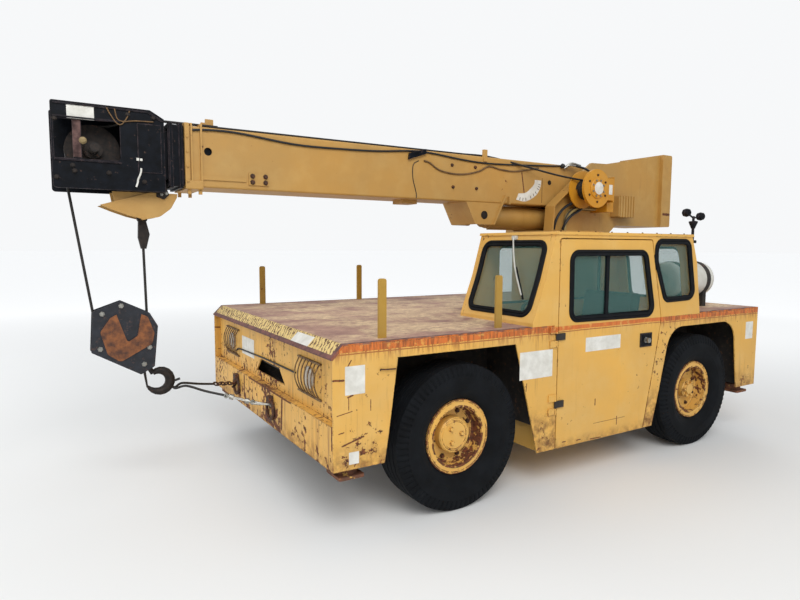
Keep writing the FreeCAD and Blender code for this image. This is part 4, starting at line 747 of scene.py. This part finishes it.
def makeTyre(name, centre):
    bm = bmesh.new()
    profile, segments = tyreProfile(), tyre["segments"]
    rings = []
    for step in range(segments):
        turn = 2 * math.pi * step / segments
        ring = []
        for along, radius, kind in profile:
            if kind == "rib":
                along += tyre["zigzag"] * (1 - abs((step % 6) - 3) / 1.5)
            if kind == "flute" and step % 3 == 0:
                radius -= tyre["fluteDepth"] * 0.8
                along -= math.copysign(tyre["fluteDepth"], along)
            ring.append(bm.verts.new(Vector(centre) + Vector((
                radius * math.cos(turn), along, radius * math.sin(turn)))))
        rings.append(ring)
    for first, second in zip(rings, rings[1:] + rings[:1]):
        for index in range(len(profile)):
            after = (index + 1) % len(profile)
            bm.faces.new((first[index], first[after], second[after], second[index]))
    piece = finishMesh("tyre" + name.title().replace("_", ""), bm, tyreRubber, "wheel_" + name,
                       28)
    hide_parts("tyre_" + name)


# wheel dressing: rolled lip, lock ring, nuts and the hub's bolts

rimTrim = {"nutCircle": 0.150, "nuts": 8, "nutSize": 0.013, "nutFace": 0.0022,
           "hubFace": 0.0602, "hubCircle": 0.052, "hubBolts": 3, "hubBoltSize": 0.014,
           "lobeCircle": 0.060, "lobes": 6, "lobeSize": 0.013}


def makeRimTrim(end, hand, centre):
    way = handSide[hand]
    name, body = end.title() + hand.title(), "wheel_%s_%s" % (end, hand)
    bm = bmesh.new()
    for profile in (
            [(0.0922, 0.2365), (0.0955, 0.2335), (0.0955, 0.226), (0.0922, 0.2235)],
            [(0.0925, 0.2235), (0.0905, 0.2215), (0.082, 0.196), (0.078, 0.186),
             (0.0925, 0.186), (0.0945, 0.192), (0.0945, 0.198)],
            [(0.0025, 0.1865), (0.0025, 0.160), (0.012, 0.1865)]):
        addLathe(bm, profile, centre, (0, way, 0), 72)
    finishMesh("rimRings" + name, bm, rimEnamel, body)
    scatter("wheelNuts" + name, boltCircle(centre, way, rimTrim["nutCircle"], rimTrim["nuts"],
                                           22.5, rimTrim["nutFace"]),
            hexBolt, rimTrim["nutSize"], castSteel, body)
    face = rimTrim["hubFace"]
    if end == "front":
        scatter("hubBolts" + hand.title(), boltCircle(
            centre, way, rimTrim["hubCircle"], rimTrim["hubBolts"], 55, face),
            hexBolt, rimTrim["hubBoltSize"], rimEnamel, body)
        turned("hubRing" + hand.title(), [(face, 0.098), (face + 0.004, 0.095),
                                          (face + 0.004, 0.088), (face, 0.085)],
               centre, (0, way, 0), 48, rimEnamel, body)
    else:
        turned("hubCap" + hand.title(), [(0.060, 0), (0.060, 0.05), (0.075, 0.045), (0.078, 0)],
               centre, (0, way, 0), 32, rimEnamel, body)
        scatter("hubLobes" + hand.title(), boltCircle(
            centre, way, rimTrim["lobeCircle"], rimTrim["lobes"], 0, face),
            hexBolt, rimTrim["lobeSize"], rimEnamel, body)


for end in axleX:
    for hand in handSide:
        wheelCentre = (axleX[end], handSide[hand] * tyre["middle"], axleHigh)
        makeTyre("%s_%s" % (end, hand), wheelCentre)
        makeRimTrim(end, hand, wheelCentre)
print("wheels dressed")


# glazing rubber: black lip seals pressed over the edges of every opening, two lips side by
# side with the filler strip's groove between them

seals = {
    "radius": 0.0125, "lips": (-0.007, 0.013), "corner": 0.058,
    "flat": {
        "doorSeal": (1.218, "door", [(-0.896, 1.600), (-1.672, 1.600), (-1.784, 1.142),
                                     (-0.903, 1.152)]),
        "quarterSeal": (1.218, "chassis", [(-1.800, 1.685), (-2.198, 1.685), (-2.288, 1.250),
                                           (-1.930, 1.242), (-1.802, 1.540)]),
        "rightSeal": (0.447, "chassis", [(-0.900, 1.650), (-2.090, 1.650), (-2.090, 1.190),
                                         (-0.900, 1.190)])},
    "screenSlope": [(-0.548, 1.120), (-0.548, 1.143), (-0.654, 1.427), (-0.710, 1.623),
                    (-0.739, 1.725)],
    "backSlope": [(-2.244, 1.725), (-2.318, 1.528), (-2.371, 1.220), (-2.388, 1.120)],
}


def slopeX(slope, height):
    # where an end wall of the cab stands at a height
    for (x0, z0), (x1, z1) in zip(slope, slope[1:]):
        if min(z0, z1) <= height <= max(z0, z1):
            return x0 + (x1 - x0) * (height - z0) / (z1 - z0)
    return slope[-1][0]


for name, (wall, body, corners) in seals["flat"].items():
    bm = bmesh.new()
    for lip in seals["lips"]:
        loop = rounded(grown([(x + shift, z) for x, z in corners], lip), seals["corner"] + lip)
        addTube(bm, [(x, wall, z) for x, z in loop], seals["radius"], 10, True)
    finishMesh(name, bm, sealRubber, body)


def slopedSeal(name, low, high, slope):
    bm = bmesh.new()
    corners = [low, (high[0], low[1]), high, (low[0], high[1])]
    for lip in seals["lips"]:
        loop = rounded(grown(corners, lip), seals["corner"] + lip)
        path = []
        for (y, z), (nextY, nextZ) in zip(loop, loop[1:] + loop[:1]):
            path.append(at(slopeX(slope, z), y, z))
            if abs(nextZ - z) > 0.1:
                for share in (0.2, 0.4, 0.6, 0.8):
                    high = z + (nextZ - z) * share
                    path.append(at(slopeX(slope, high), y + (nextY - y) * share, high))
        addTube(bm, path, seals["radius"], 10, True)
    finishMesh(name, bm, sealRubber, "chassis")


slopedSeal("screenSeal", (0.525, 1.195), (1.145, 1.665), seals["screenSlope"])
slopedSeal("backSeal", (0.565, 1.210), (1.090, 1.650), seals["backSlope"])


# door dressing: the sliding pane's divider and track, and the latch

door = {"pane": (1.196, 1.214), "track": (1.196, 1.204), "divider": (-1.287, -1.250),
        "latch": (-1.700, 0.948), "coverFace": 1.226}
bm = bmesh.new()
addBlock(bm, at(door["divider"][0], door["pane"][0], 1.148),
         at(door["divider"][1], door["pane"][1], 1.600), 0.003)
addBlock(bm, at(-1.75, door["track"][0], 1.150), at(-0.91, door["track"][1], 1.170), 0.002)
finishMesh("doorDivider", bm, sealRubber, "door")
turned("latchKnob", [(0, 0), (0, 0.021), (0.006, 0.021), (0.008, 0.012), (0.018, 0.012),
                     (0.022, 0.019), (0.036, 0.019), (0.039, 0)],
       at(door["latch"][0], door["coverFace"], door["latch"][1]), (0, 1, 0), 28, zincSteel,
       "door")
block("latchCover", (-1.772, door["coverFace"], 0.902),
      (-1.647, door["coverFace"] + 0.0025, 0.994), 0.001, boomBlack, "door")

# blank labels: from and to station, from and to height, the wall they stick to and its body
labels = {
    "thick": 0.0012,
    "doorLabel": (-1.42, -1.053, 0.912, 1.012, 1.220, "door"),
    "sillLabel": (-0.733, -0.44, 0.778, 0.961, 1.220, "chassis"),
    "cornerLabel": (0.691, 0.812, 0.842, 0.999, 1.220, "chassis"),
    "cornerLabelLow": (0.729, 0.790, 0.455, 0.523, 1.220, "chassis"),
    "rearLabel": (-3.199, -3.087, 0.845, 0.996, 1.220, "chassis"),
    "headLabel": (1.877, 2.015, 2.351, 2.427, 0.160, "boom_fly"),
}
for name, (x0, x1, z0, z1, wall, body) in list(labels.items())[1:]:
    block(name, (x0, wall, z0), (x1, wall + labels["thick"], z1), 0, blankLabel, body, 0)


# windscreen wiper: (side, height) pairs of its arm and blade

wiper = {"arm": [(0.838, 1.706), (0.885, 1.585), (0.945, 1.468), (1.060, 1.318)],
         "blade": [(0.925, 1.500), (1.000, 1.392), (1.075, 1.292)],
         "armRadius": 0.0055, "bladeRadius": 0.0075}


def onScreen(y, z, proud):
    return at(slopeX(seals["screenSlope"], z) + proud, y, z)


bm = bmesh.new()
addTube(bm, curvePoints([onScreen(y, z, 0.026) for y, z in wiper["arm"]], 6),
        wiper["armRadius"], 8)
addBlock(bm, onScreen(0.818, 1.692, -0.006), onScreen(0.860, 1.722, 0.032), 0.004)
finishMesh("wiper", bm, agedAluminium, "chassis")
tubes("wiperBlade", [curvePoints([onScreen(y, z, 0.014) for y, z in wiper["blade"]], 6)],
      wiper["bladeRadius"], sealRubber, "chassis", 8)
print("cab glazed and trimmed")


# hoist rope, laid along the top of the boom from the winch to the head

winch = {"x": -1.985, "z": 2.150, "face": 0.484, "hubFace": 0.502, "hubCircle": 0.070,
         "rimCircle": 0.115}
ropeRun = {"radius": 0.008, "side": 0.105, "drum": 0.082, "drumFrom": 0.325, "wound": 0.130,
           "turns": 8, "sheaveX": 1.880, "sheaveZ": 2.200, "sheave": 0.140}
drumX, side = winch["x"] + shift, ropeRun["side"]
sheaveX, sheaveZ = ropeRun["sheaveX"] + shift, ropeRun["sheaveZ"]


def ropePiece(name, points, first, second=None):
    # a length of rope on one body; given a second, it is left on none, its place baked in
    piece = tubes(name, [points], ropeRun["radius"], wireRope, None)
    if second:
        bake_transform(piece)
    else:
        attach(piece, first)


ropePiece("ropeOffDrum", curvePoints([
    (drumX + 0.02, 0.36, 2.226), (drumX + 0.30, 0.30, 2.262), (drumX + 0.60, 0.20, 2.33),
    (drumX + 0.90, side, 2.393), (drumX + 1.20, side, 2.393)]),
    "turret", "boom_base")
ropePiece("ropeOnBase", [(drumX + 1.20 + step * 0.2, side, 2.393) for step in range(11)]
          + [(1.800, side, 2.395)], "boom_base")
ropePiece("ropeToMid", [(1.790 + 0.02 * step, side, 2.398) for step in range(16)],
          "boom_base", "boom_mid")
ropePiece("ropeToHead", [(2.085 + 0.01 * step, side, 2.398) for step in range(5)]
          + [(2.15, 0.09, 2.41), (2.30, 0.05, 2.385), (2.42, 0.0, 2.352), (sheaveX, 0.0, 2.342)],
          "boom_mid", "boom_fly")
ropePiece("ropeOverSheave", [(sheaveX + ropeRun["sheave"] * math.sin(t), 0,
                              sheaveZ + ropeRun["sheave"] * math.cos(t))
                             for t in (math.radians(9 * step) for step in range(11))],
          "boom_fly")
ropePiece("fallTop", [(sheaveX + ropeRun["sheave"] - 0.0003 * step, 0, sheaveZ - 0.0222 * step)
                      for step in range(11)],
          "boom_fly", "tackle")
tubes("ropeOnDrum", [[(drumX + ropeRun["drum"] * math.cos(2 * math.pi * turn),
                       ropeRun["drumFrom"] + ropeRun["wound"] * turn / ropeRun["turns"],
                       winch["z"] + ropeRun["drum"] * math.sin(2 * math.pi * turn))
                      for turn in (step / 20 for step in range(20 * ropeRun["turns"] + 1))]],
      ropeRun["radius"], wireRope, "turret", 8)
print("rope laid")


# boom dressing: hoses clipped to its left wall, the angle scale and the cover's bolts

boomSide = {
    "wall": 0.165, "scaleTicks": 9, "boltSize": 0.011, "coverFace": 0.174, "coverBolt": 0.013,
    "boomHose": [(1.345, 2.352), (1.225, 2.363), (1.041, 2.361), (0.657, 2.325), (0.283, 2.327),
                 (0.012, 2.338), (-0.277, 2.364), (-0.440, 2.363), (-0.963, 2.326),
                 (-1.626, 2.352), (-1.861, 2.368)],
    "boomOldHose": [(-0.385, 2.300), (-0.441, 2.286), (-0.533, 2.238), (-0.672, 2.219),
                    (-0.800, 2.227), (-0.931, 2.259), (-1.031, 2.303), (-1.152, 2.287),
                    (-1.294, 2.281), (-1.439, 2.301), (-1.589, 2.330)],
    "boomWire": [(-0.338, 2.297), (-0.289, 2.262), (-0.286, 2.163), (-0.317, 2.052),
                 (-0.318, 2.012)],
    "clip": [(-0.240, 2.297), (-0.246, 2.345), (-0.395, 2.388), (-0.400, 2.352)],
    "seam": [(-1.644, 2.03), (-1.640, 2.03), (-1.640, 2.246), (-1.644, 2.246)],
    "outerArc": [(-1.341, 2.045), (-1.452, 2.036), (-1.564, 2.089), (-1.619, 2.161),
                 (-1.630, 2.224)],
    "innerArc": [(-1.367, 2.100), (-1.450, 2.111), (-1.523, 2.163), (-1.550, 2.195),
                 (-1.553, 2.226)],
    "bolts": [(-0.656, 2.287), (-0.890, 2.286), (-0.667, 2.116), (-0.905, 2.116)],
    "coverBolts": [(0.876, 2.056), (0.963, 2.056), (0.876, 2.095), (0.963, 2.095)],
}
wall = boomSide["wall"]
for name, proud, radius, jacket, sides in (
        ("boomHose", 0.0075, 0.007, hoseRubber, 10), ("boomOldHose", 0.0065, 0.0065, oldHose, 10),
        ("boomWire", 0.003, 0.0032, hoseRubber, 8)):
    wallHoses(name, [boomSide[name]], wall + proud, radius, jacket, "boom_base", sides)
plates("boomClip", [boomSide["clip"]], wall, wall + 0.022, boomBlack, "boom_base")
outerArc, innerArc = [curvePoints([(x, 0, z) for x, z in boomSide[key]], 6)
                      for key in ("outerArc", "innerArc")]
plates("angleScale", [[(p.x, p.z) for p in outerArc + innerArc[::-1]]], wall, wall + 0.0016,
       blankLabel, "boom_base")
ticks = []
for step in range(1, boomSide["scaleTicks"] + 1):
    share = int(step * 23 / (boomSide["scaleTicks"] + 1))
    outer, inner = outerArc[share], innerArc[share]
    across = (inner - outer).normalized()
    along = Vector((across.z, 0, -across.x)) * 0.0025
    start, end = outer + across * 0.006, outer + across * 0.030
    ticks.append([(p.x, p.z) for p in (start - along, end - along, end + along, start + along)])
plates("angleScaleTicks", ticks, wall + 0.0012, wall + 0.0024, sealRubber, "boom_base")
plates("boomSeam", [boomSide["seam"]], wall, wall + 0.0012, castSteel, "boom_base")
bm = bmesh.new()
addLathe(bm, [(0, 0.021), (0.0018, 0.021), (0.0018, 0.017), (0.0006, 0.016), (0.0006, 0),
              (0, 0)], at(-1.730, wall, 2.212), (0, 1, 0), 28)
addLathe(bm, [(0, 0.034), (0.003, 0.034), (0.003, 0.027), (0.001, 0.026), (0.001, 0), (0, 0)],
         at(-0.993, wall, 1.905), (0, 1, 0), 32)
finishMesh("boomPinEnds", bm, blackIron, "boom_base")
wallBolts("boomSideBolts", boomSide["bolts"], wall, boomSide["boltSize"], castSteel, "boom_base")
wallBolts("padCoverBolts", boomSide["coverBolts"], boomSide["coverFace"], boomSide["coverBolt"],
          castSteel, "boom_base")
wallBolts("collarBolts", [(1.372, 2.04 + 0.09 * step) for step in range(4)], 0.180, 0.008,
          boomEnamel, "boom_base")
print("boom dressed")


# head dressing: bolts, the guide bolt, leads and tape of the limit switch, tags, the top rail

head = {
    "face": 0.160, "podFace": 0.1005, "boltSize": 0.011, "podBoltSize": 0.008,
    "bolts": [(1.810, 2.060), (1.995, 2.091), (1.986, 2.062), (2.076, 2.022), (2.076, 2.343),
              (1.700, 2.405), (1.620, 2.020), (1.560, 2.400)],
    "leads": [[(1.812, 2.432), (1.793, 2.395), (1.762, 2.350), (1.735, 2.345), (1.705, 2.385),
               (1.690, 2.425)],
              [(1.770, 2.430), (1.757, 2.375), (1.725, 2.362), (1.660, 2.372), (1.560, 2.377)]],
    "tags": [(1.628, 1.641, 2.142, 2.156), (1.646, 1.661, 2.142, 2.158)],
    "tape": [(1.636, 2.099), (1.640, 2.070), (1.655, 2.032), (1.658, 2.015), (1.667, 1.987)],
    "rail": [(1.505, 2.388), (1.590, 2.434), (2.080, 2.434), (2.080, 2.426), (1.594, 2.426),
             (1.510, 2.380)],
    "pod": [(1.470, 1.955), (1.500, 1.925), (1.545, 1.940), (1.545, 2.010), (1.500, 2.030)],
    "podBolts": [(1.527, 1.995), (1.515, 1.956), (1.486, 1.963)],
}
face = head["face"]
wallBolts("headBolts", head["bolts"], face, head["boltSize"], blackIron, "boom_fly")
turned("guideBolt", [(-0.075, 0), (-0.075, 0.011), (0, 0.011), (0, 0.020), (0.004, 0.020),
                     (0.006, 0.015), (0.014, 0.014), (0.016, 0)], at(1.938, 0.149, 2.236),
       (0, 1, 0), 24, brass, "boom_fly")
wallHoses("headLeads", head["leads"], face + 0.0065, 0.0036, oldHose, "boom_fly", 8)
bm = bmesh.new()
for x0, x1, z0, z1 in head["tags"]:
    addBlock(bm, at(x0, face, z0), at(x1, face + 0.0065, z1), 0.0004)
finishMesh("headTags", bm, blankLabel, "boom_fly")
wallHoses("headTape", [head["tape"]], face + 0.006, 0.0055, blankLabel, "boom_fly", 8)
plates("headRail", [head["rail"]], face, face + 0.006, boomBlack, "boom_fly")
plates("podBracket", [head["pod"]], 0.0925, head["podFace"], blackIron, "boom_fly")
wallBolts("podBolts", head["podBolts"], head["podFace"], head["podBoltSize"], zincSteel,
          "boom_fly")
print("head dressed")


# turret dressing: the winch hub's blank plate, its bolts, hoses and their fittings

hub = at(winch["x"], winch["hubFace"], winch["z"])
turned("winchHubPlate", [(0, 0), (0, 0.054), (0.0015, 0.054), (0.0025, 0.050), (0.0025, 0)],
       hub, (0, 1, 0), 48, blankLabel, "turret")
disc = at(winch["x"], winch["face"], winch["z"])
scatter("winchHubBolts", boltCircle(disc, 1, winch["hubCircle"], 8, 22.5, 0.012), hexBolt,
        0.007, zincSteel, "turret")
scatter("winchRimBolts", boltCircle(disc, 1, winch["rimCircle"], 6, 30), hexBolt, 0.008,
        castSteel, "turret")
block("winchTabLabel", (-2.180, winch["face"], 2.105), (-2.135, winch["face"] + 0.0015, 2.190),
      0.0004, blankLabel, "turret")
turretHoses = {
    "winchHoses": (0.009, zincSteel, [
        [(-1.885, 0.190, 2.345), (-1.925, 0.215, 2.372), (-1.975, 0.240, 2.368)],
        [(-1.900, 0.182, 2.355), (-1.950, 0.212, 2.392), (-2.030, 0.250, 2.372)]]),
    "winchHoseLong": (0.010, hoseRubber, [
        [(-1.975, 0.240, 2.368), (-2.060, 0.290, 2.338), (-2.135, 0.330, 2.270)]]),
    "winchFeeds": (0.012, hoseRubber, [
        [(-1.973, 0.300, 2.065), (-1.894, 0.300, 2.036), (-1.795, 0.300, 1.992),
         (-1.726, 0.300, 1.935), (-1.691, 0.290, 1.865), (-1.690, 0.270, 1.795)],
        [(-1.987, 0.312, 1.984), (-1.937, 0.312, 1.957), (-1.852, 0.310, 1.914),
         (-1.801, 0.300, 1.852), (-1.790, 0.280, 1.795)]]),
}
for name, (radius, jacket, runs) in turretHoses.items():
    tubes(name, [curvePoints([at(*point) for point in run]) for run in runs], radius, jacket,
          "turret")
    if name == "winchHoseLong":
        turned("hoseGland", [(-0.012, 0), (-0.012, 0.019), (0.004, 0.022), (0.012, 0.016),
                             (0.012, 0)], at(-1.868, 0.186, 2.366), (1, 0.1, 0), 20, hoseRubber,
               "boom_base")
print("turret dressed")


# cab dressing: twin-cup mast at the rear corner and the roof's screws

mast = {"x": -2.352, "y": 1.150, "low": 1.300, "top": 1.850, "arm": 0.095, "clampWide": 0.030,
        "clamps": (1.335, 1.520, 1.690)}
bm = bmesh.new()
addTube(bm, [at(mast["x"], mast["y"], mast["low"]), at(mast["x"], mast["y"], mast["top"])],
        0.011, 12)
addLathe(bm, [(0, 0), (0, 0.014), (0.050, 0.034), (0.058, 0.034), (0.064, 0.010),
              (0.10, 0.010), (0.102, 0)], at(mast["x"], mast["y"], mast["top"] - 0.055),
         (0, 0, 1), 20)
for way in (1, -1):
    tip = (mast["x"] + way * mast["arm"], mast["y"], mast["top"] + 0.058 + 0.012 * way)
    addTube(bm, [at(mast["x"], mast["y"], mast["top"] + 0.03), at(*tip)], 0.007, 8)
    addLathe(bm, [(-0.034, 0), (-0.031, 0.016), (-0.022, 0.028), (0, 0.034), (0.022, 0.028),
                  (0.031, 0.016), (0.034, 0)], at(*tip), (0, 1, 0), 20)
for height in mast["clamps"]:
    addBlock(bm, at(mast["x"] - 0.012, mast["y"] - mast["clampWide"], height - 0.012),
             at(slopeX(seals["backSlope"], height) + 0.004, mast["y"] + mast["clampWide"],
                height + 0.012), 0.003)
finishMesh("twinCupMast", bm, boomBlack, "chassis")
scatter("roofScrews", [(at(-0.80 - 0.17 * step, 1.200, 1.745), (0, 0, 1)) for step in range(9)],
        hexBolt, 0.006, castSteel, "chassis")
print("cab dressed")


# deck and nose dressing: the lamps' lead, blank labels and a hook of bar on the side skin

nose = {"recessX": 0.836, "lead": [(-0.700, 0.800), (-0.625, 0.823), (-0.30, 0.836),
                                   (0.05, 0.846), (0.40, 0.850), (0.580, 0.852)],
        "stripLabel": [(0.829, 0.60), (0.829, 0.86), (0.878, 0.86), (0.878, 0.60)],
        "stripSum": 1.941, "labelLift": 0.0011,
        "skinHook": [(0.594, 1.221, 0.957), (0.597, 1.232, 0.965), (0.570, 1.233, 0.962),
                     (0.507, 1.232, 0.959), (0.500, 1.221, 0.957)]}
tubes("noseLead", [curvePoints([at(nose["recessX"] + 0.006, y, z) for y, z in nose["lead"]])],
      0.006, hoseRubber, "chassis", 8)
block("recessLabel", (nose["recessX"], -0.560, 0.800),
      (nose["recessX"] + labels["thick"], -0.262, 0.940), 0, blankLabel, "chassis", 0)
bm = bmesh.new()
# the strip slopes at 45 degrees, so station and height have one sum along it
low, high = [[bm.verts.new(at(x + lift, y, nose["stripSum"] - x + lift))
              for x, y in nose["stripLabel"]] for lift in (0, nose["labelLift"])]
bm.faces.new(low[::-1])
bm.faces.new(high)
for step in range(4):
    after = (step + 1) % 4
    bm.faces.new((low[step], low[after], high[after], high[step]))
finishMesh("stripLabel", bm, blankLabel, "chassis", 0)
tubes("skinHook", [curvePoints([at(*point) for point in nose["skinHook"]], 6)], 0.004, castSteel,
      "chassis", 8)
print("nose dressed")


# tie-down gear from the crane's hook to the nose: a chain leg and a rope leg with a
# bottle screw, pulled tight

tie = {"bowl": (1.452, 0.0, 0.742), "chainRing": (0.905, -0.506, 0.574),
       "screwRing": (0.905, 0.262, 0.572), "rope": 0.008, "link": 0.042, "grab": 0.0095,
       "chainFrom": 0.60, "chainTo": 0.90}
bowl, chainRing, screwRing = [Vector(at(*tie[key])) for key in ("bowl", "chainRing",
                                                                "screwRing")]


def linkModel(name, turn):
    # one chain link, a unit long between its crowns, on its side or on its edge
    path = []
    for t in (2 * math.pi * step / 16 for step in range(16)):
        across = 0.34 * math.cos(t)
        path.append((across * math.cos(turn), across * math.sin(turn),
                     0.34 * math.sin(t) + (0.26 if math.sin(t) > 0 else -0.26)))
    bm = bmesh.new()
    addTube(bm, path, 0.13, 8, True)
    return finishMesh(name, bm, castSteel, None)


def off(point, x, y, z):
    return point + Vector((x, y, z))


def toRing(ring, share, sag=0.0):
    # a point on the way from the hook's bowl to a ring
    return bowl.lerp(ring, share) + Vector((0, 0, -sag))


linkFlat, linkEdge = linkModel("linkFlat", 0.0), linkModel("linkEdge", math.pi / 2)
chainStart, chainEnd = toRing(chainRing, tie["chainFrom"], 0.006), toRing(chainRing, tie["chainTo"])
tubes("slingRope", [curvePoints(run) for run in (
    [off(bowl, 0.012, 0, 0.028), off(bowl, 0.03, 0.004, 0), off(bowl, 0, -0.012, -0.030),
     toRing(chainRing, 0.1), toRing(chainRing, 0.35, 0.005), chainStart],
    [off(bowl, -0.03, 0.012, 0.03), off(bowl, 0.026, 0.014, 0.01),
     off(bowl, 0.004, 0.018, -0.030), toRing(screwRing, 0.12), toRing(screwRing, 0.32, 0.004),
     toRing(screwRing, 0.54)])], tie["rope"], wireRope, "tackle")
chain = chainEnd - chainStart
count = int(chain.length / (tie["link"] * 0.98))
spots = [chainStart + chain * ((step + 0.5) / count) for step in range(count)]
for name, model, first in (("slingChainFlat", linkFlat, 0), ("slingChainEdge", linkEdge, 1)):
    scatter(name, [(spot, chain.normalized()) for spot in spots[first::2]], model, tie["link"],
            castSteel, "tackle")
grabStart = chainEnd + (chainRing - bowl).normalized() * 0.045
tubes("grabHook", [curvePoints([
    chainEnd, grabStart, off(chainRing, 0.005, 0, 0.022), off(chainRing, -0.006, -0.018, 0.004),
    off(chainRing, 0.006, -0.022, -0.020), off(chainRing, 0.030, -0.002, -0.026)])],
    tie["grab"], castSteel, "tackle")

bottle = {"start": 0.54, "end": 0.82, "rod": 0.008, "frame": 0.035, "frameBar": 0.005,
          "pin": 0.007}
first, last = toRing(screwRing, bottle["start"]), toRing(screwRing, bottle["end"])
along = (screwRing - bowl).normalized()
reach = (last - first).length
up = along.cross(Vector((0, 0, 1))).normalized()
frameEnds = [first + along * place for place in (bottle["frame"], reach - bottle["frame"])]
bm = bmesh.new()
for way in (0.013, -0.013):
    addTube(bm, [place + up * way for place in frameEnds], bottle["frameBar"], 8)
for place in frameEnds:
    addLathe(bm, [(-0.013, 0), (-0.013, 0.018), (0.013, 0.018), (0.013, 0)], place, along, 12)
addTube(bm, [first, first + along * (reach * 0.45)], bottle["rod"], 10)
addTube(bm, [first + along * (reach * 0.60), last], bottle["rod"], 10)
for place in (first, last):
    addLathe(bm, [(-0.010, 0.007), (-0.010, 0.016), (0.010, 0.016), (0.010, 0.007)], place, up,
             16)
finishMesh("bottleScrew", bm, zincSteel, "tackle")
tubes("shackle", [curvePoints([
    last + up * 0.016, last + up * 0.018 + along * 0.03,
    off(screwRing, -0.004, 0, 0.014) + up * 0.010, off(screwRing, -0.012, 0, 0.0),
    off(screwRing, -0.004, 0, 0.006) - up * 0.012, last - up * 0.018 + along * 0.03,
    last - up * 0.016], 6)], bottle["pin"], zincSteel, "tackle")
tubes("shacklePin", [[last + up * 0.026, last - up * 0.026]], bottle["pin"], zincSteel, "tackle",
      12)
print("tie-down gear rigged")


# hook block's bolts on both cheeks

blockBolts = [(1.761, 1.270), (1.868, 1.225), (1.605, 1.000), (1.640, 0.895), (1.885, 1.010)]
for name, way in (("blockBolts", 1), ("blockBoltsFar", -1)):
    wallBolts(name, blockBolts, 0.046, 0.012, zincSteel, "tackle", way)


# studio: a plain pale floor that fades to white far out, three soft lamps, a pale sky

studio = {"floor": "#e9e9e7", "floorSize": 400, "keyPower": 640, "fillPower": 240, "sky": 0.66,
          "paleFrom": 3.5, "paleTo": 13, "pale": 0.50, "skyTone": (0.80, 0.83, 0.87, 1),
          "skySeen": (0.93, 0.94, 0.95, 1)}
bpy.ops.mesh.primitive_plane_add(size=studio["floorSize"], location=(0, 0, 0))
floor = bpy.context.object
floor.name = "studioFloor"
# matt floor paint, which the camera sees paler the farther it lies
floorPaint, tree, shader, place = newMaterial("studioFloorPaint", 0.9)
shader.inputs["Base Color"].default_value = linear(studio["floor"])
shader.inputs["Emission Color"].default_value = (1, 1, 1, 1)
far = addNode(tree, "ShaderNodeVectorMath", [place], "Value", operation="LENGTH")
paler = addNode(tree, "ShaderNodeMapRange", [far, studio["paleFrom"], studio["paleTo"], 0,
                                             studio["pale"]])
seen = addNode(tree, "ShaderNodeLightPath", out="Is Camera Ray")
tree.links.new(reckon(tree, "MULTIPLY", paler, seen), shader.inputs["Emission Strength"])
floor.data.materials.append(floorPaint)


def areaLamp(name, place, aim, size, power):
    data = bpy.data.lights.new(name, "AREA")
    data.size, data.energy = size, power
    lamp = bpy.data.objects.new(name, data)
    bpy.context.collection.objects.link(lamp)
    lamp.location = place
    lamp.rotation_euler = (Vector(aim) - Vector(place)).to_track_quat("-Z", "Y").to_euler()


areaLamp("keyLamp", (3.5, 7.5, 7.5), (0, 0, 1), 6.0, studio["keyPower"])
areaLamp("fillLamp", (8.0, -3.0, 5.0), (0, 0, 1), 6.0, studio["fillPower"])
areaLamp("backLamp", (-7.5, -4.0, 6.0), (0, 0, 1.2), 5.0, studio["fillPower"] * 0.6)
world = bpy.data.worlds.new("studioWorld")
world.use_nodes = True
bpy.context.scene.world = world
tree = world.node_tree
rays = addNode(tree, "ShaderNodeLightPath", out=None).outputs
seen = reckon(tree, "MAXIMUM", rays["Is Camera Ray"], rays["Is Transmission Ray"])
sky = tree.nodes["Background"].inputs
tree.links.new(coat(tree, studio["skyTone"], studio["skySeen"], seen), sky["Color"])
tree.links.new(addNode(tree, "ShaderNodeMapRange", [seen, 0, 1, studio["sky"], 1]),
               sky["Strength"])

photo = {"width": 800, "focal": 593.0, "sensor": 36, "eye": (2.193, 4.036, 1.641),
         "yaw": -121.477, "pitch": 5.154, "roll": 0.247}
cameraData = bpy.data.cameras.new("photoCamera")
cameraData.sensor_width = photo["sensor"]
cameraData.lens = photo["focal"] / photo["width"] * photo["sensor"]
cameraData.dof.use_dof = False
camera = bpy.data.objects.new("photoCamera", cameraData)
bpy.context.collection.objects.link(camera)
camera.location = at(*photo["eye"])
yaw, pitch, roll = [math.radians(photo[key]) for key in ("yaw", "pitch", "roll")]
look = Vector((math.cos(yaw) * math.cos(pitch), math.sin(yaw) * math.cos(pitch),
               -math.sin(pitch)))
camera.rotation_euler = (look.to_track_quat("-Z", "Y").to_matrix()
                         @ Matrix.Rotation(roll, 3, "Z")).to_euler()
bpy.context.scene.camera = camera
bpy.context.scene.view_settings.view_transform = "Standard"
print("studio ready")

for model in (hexBolt, linkFlat, linkEdge):
    bpy.data.objects.remove(model)
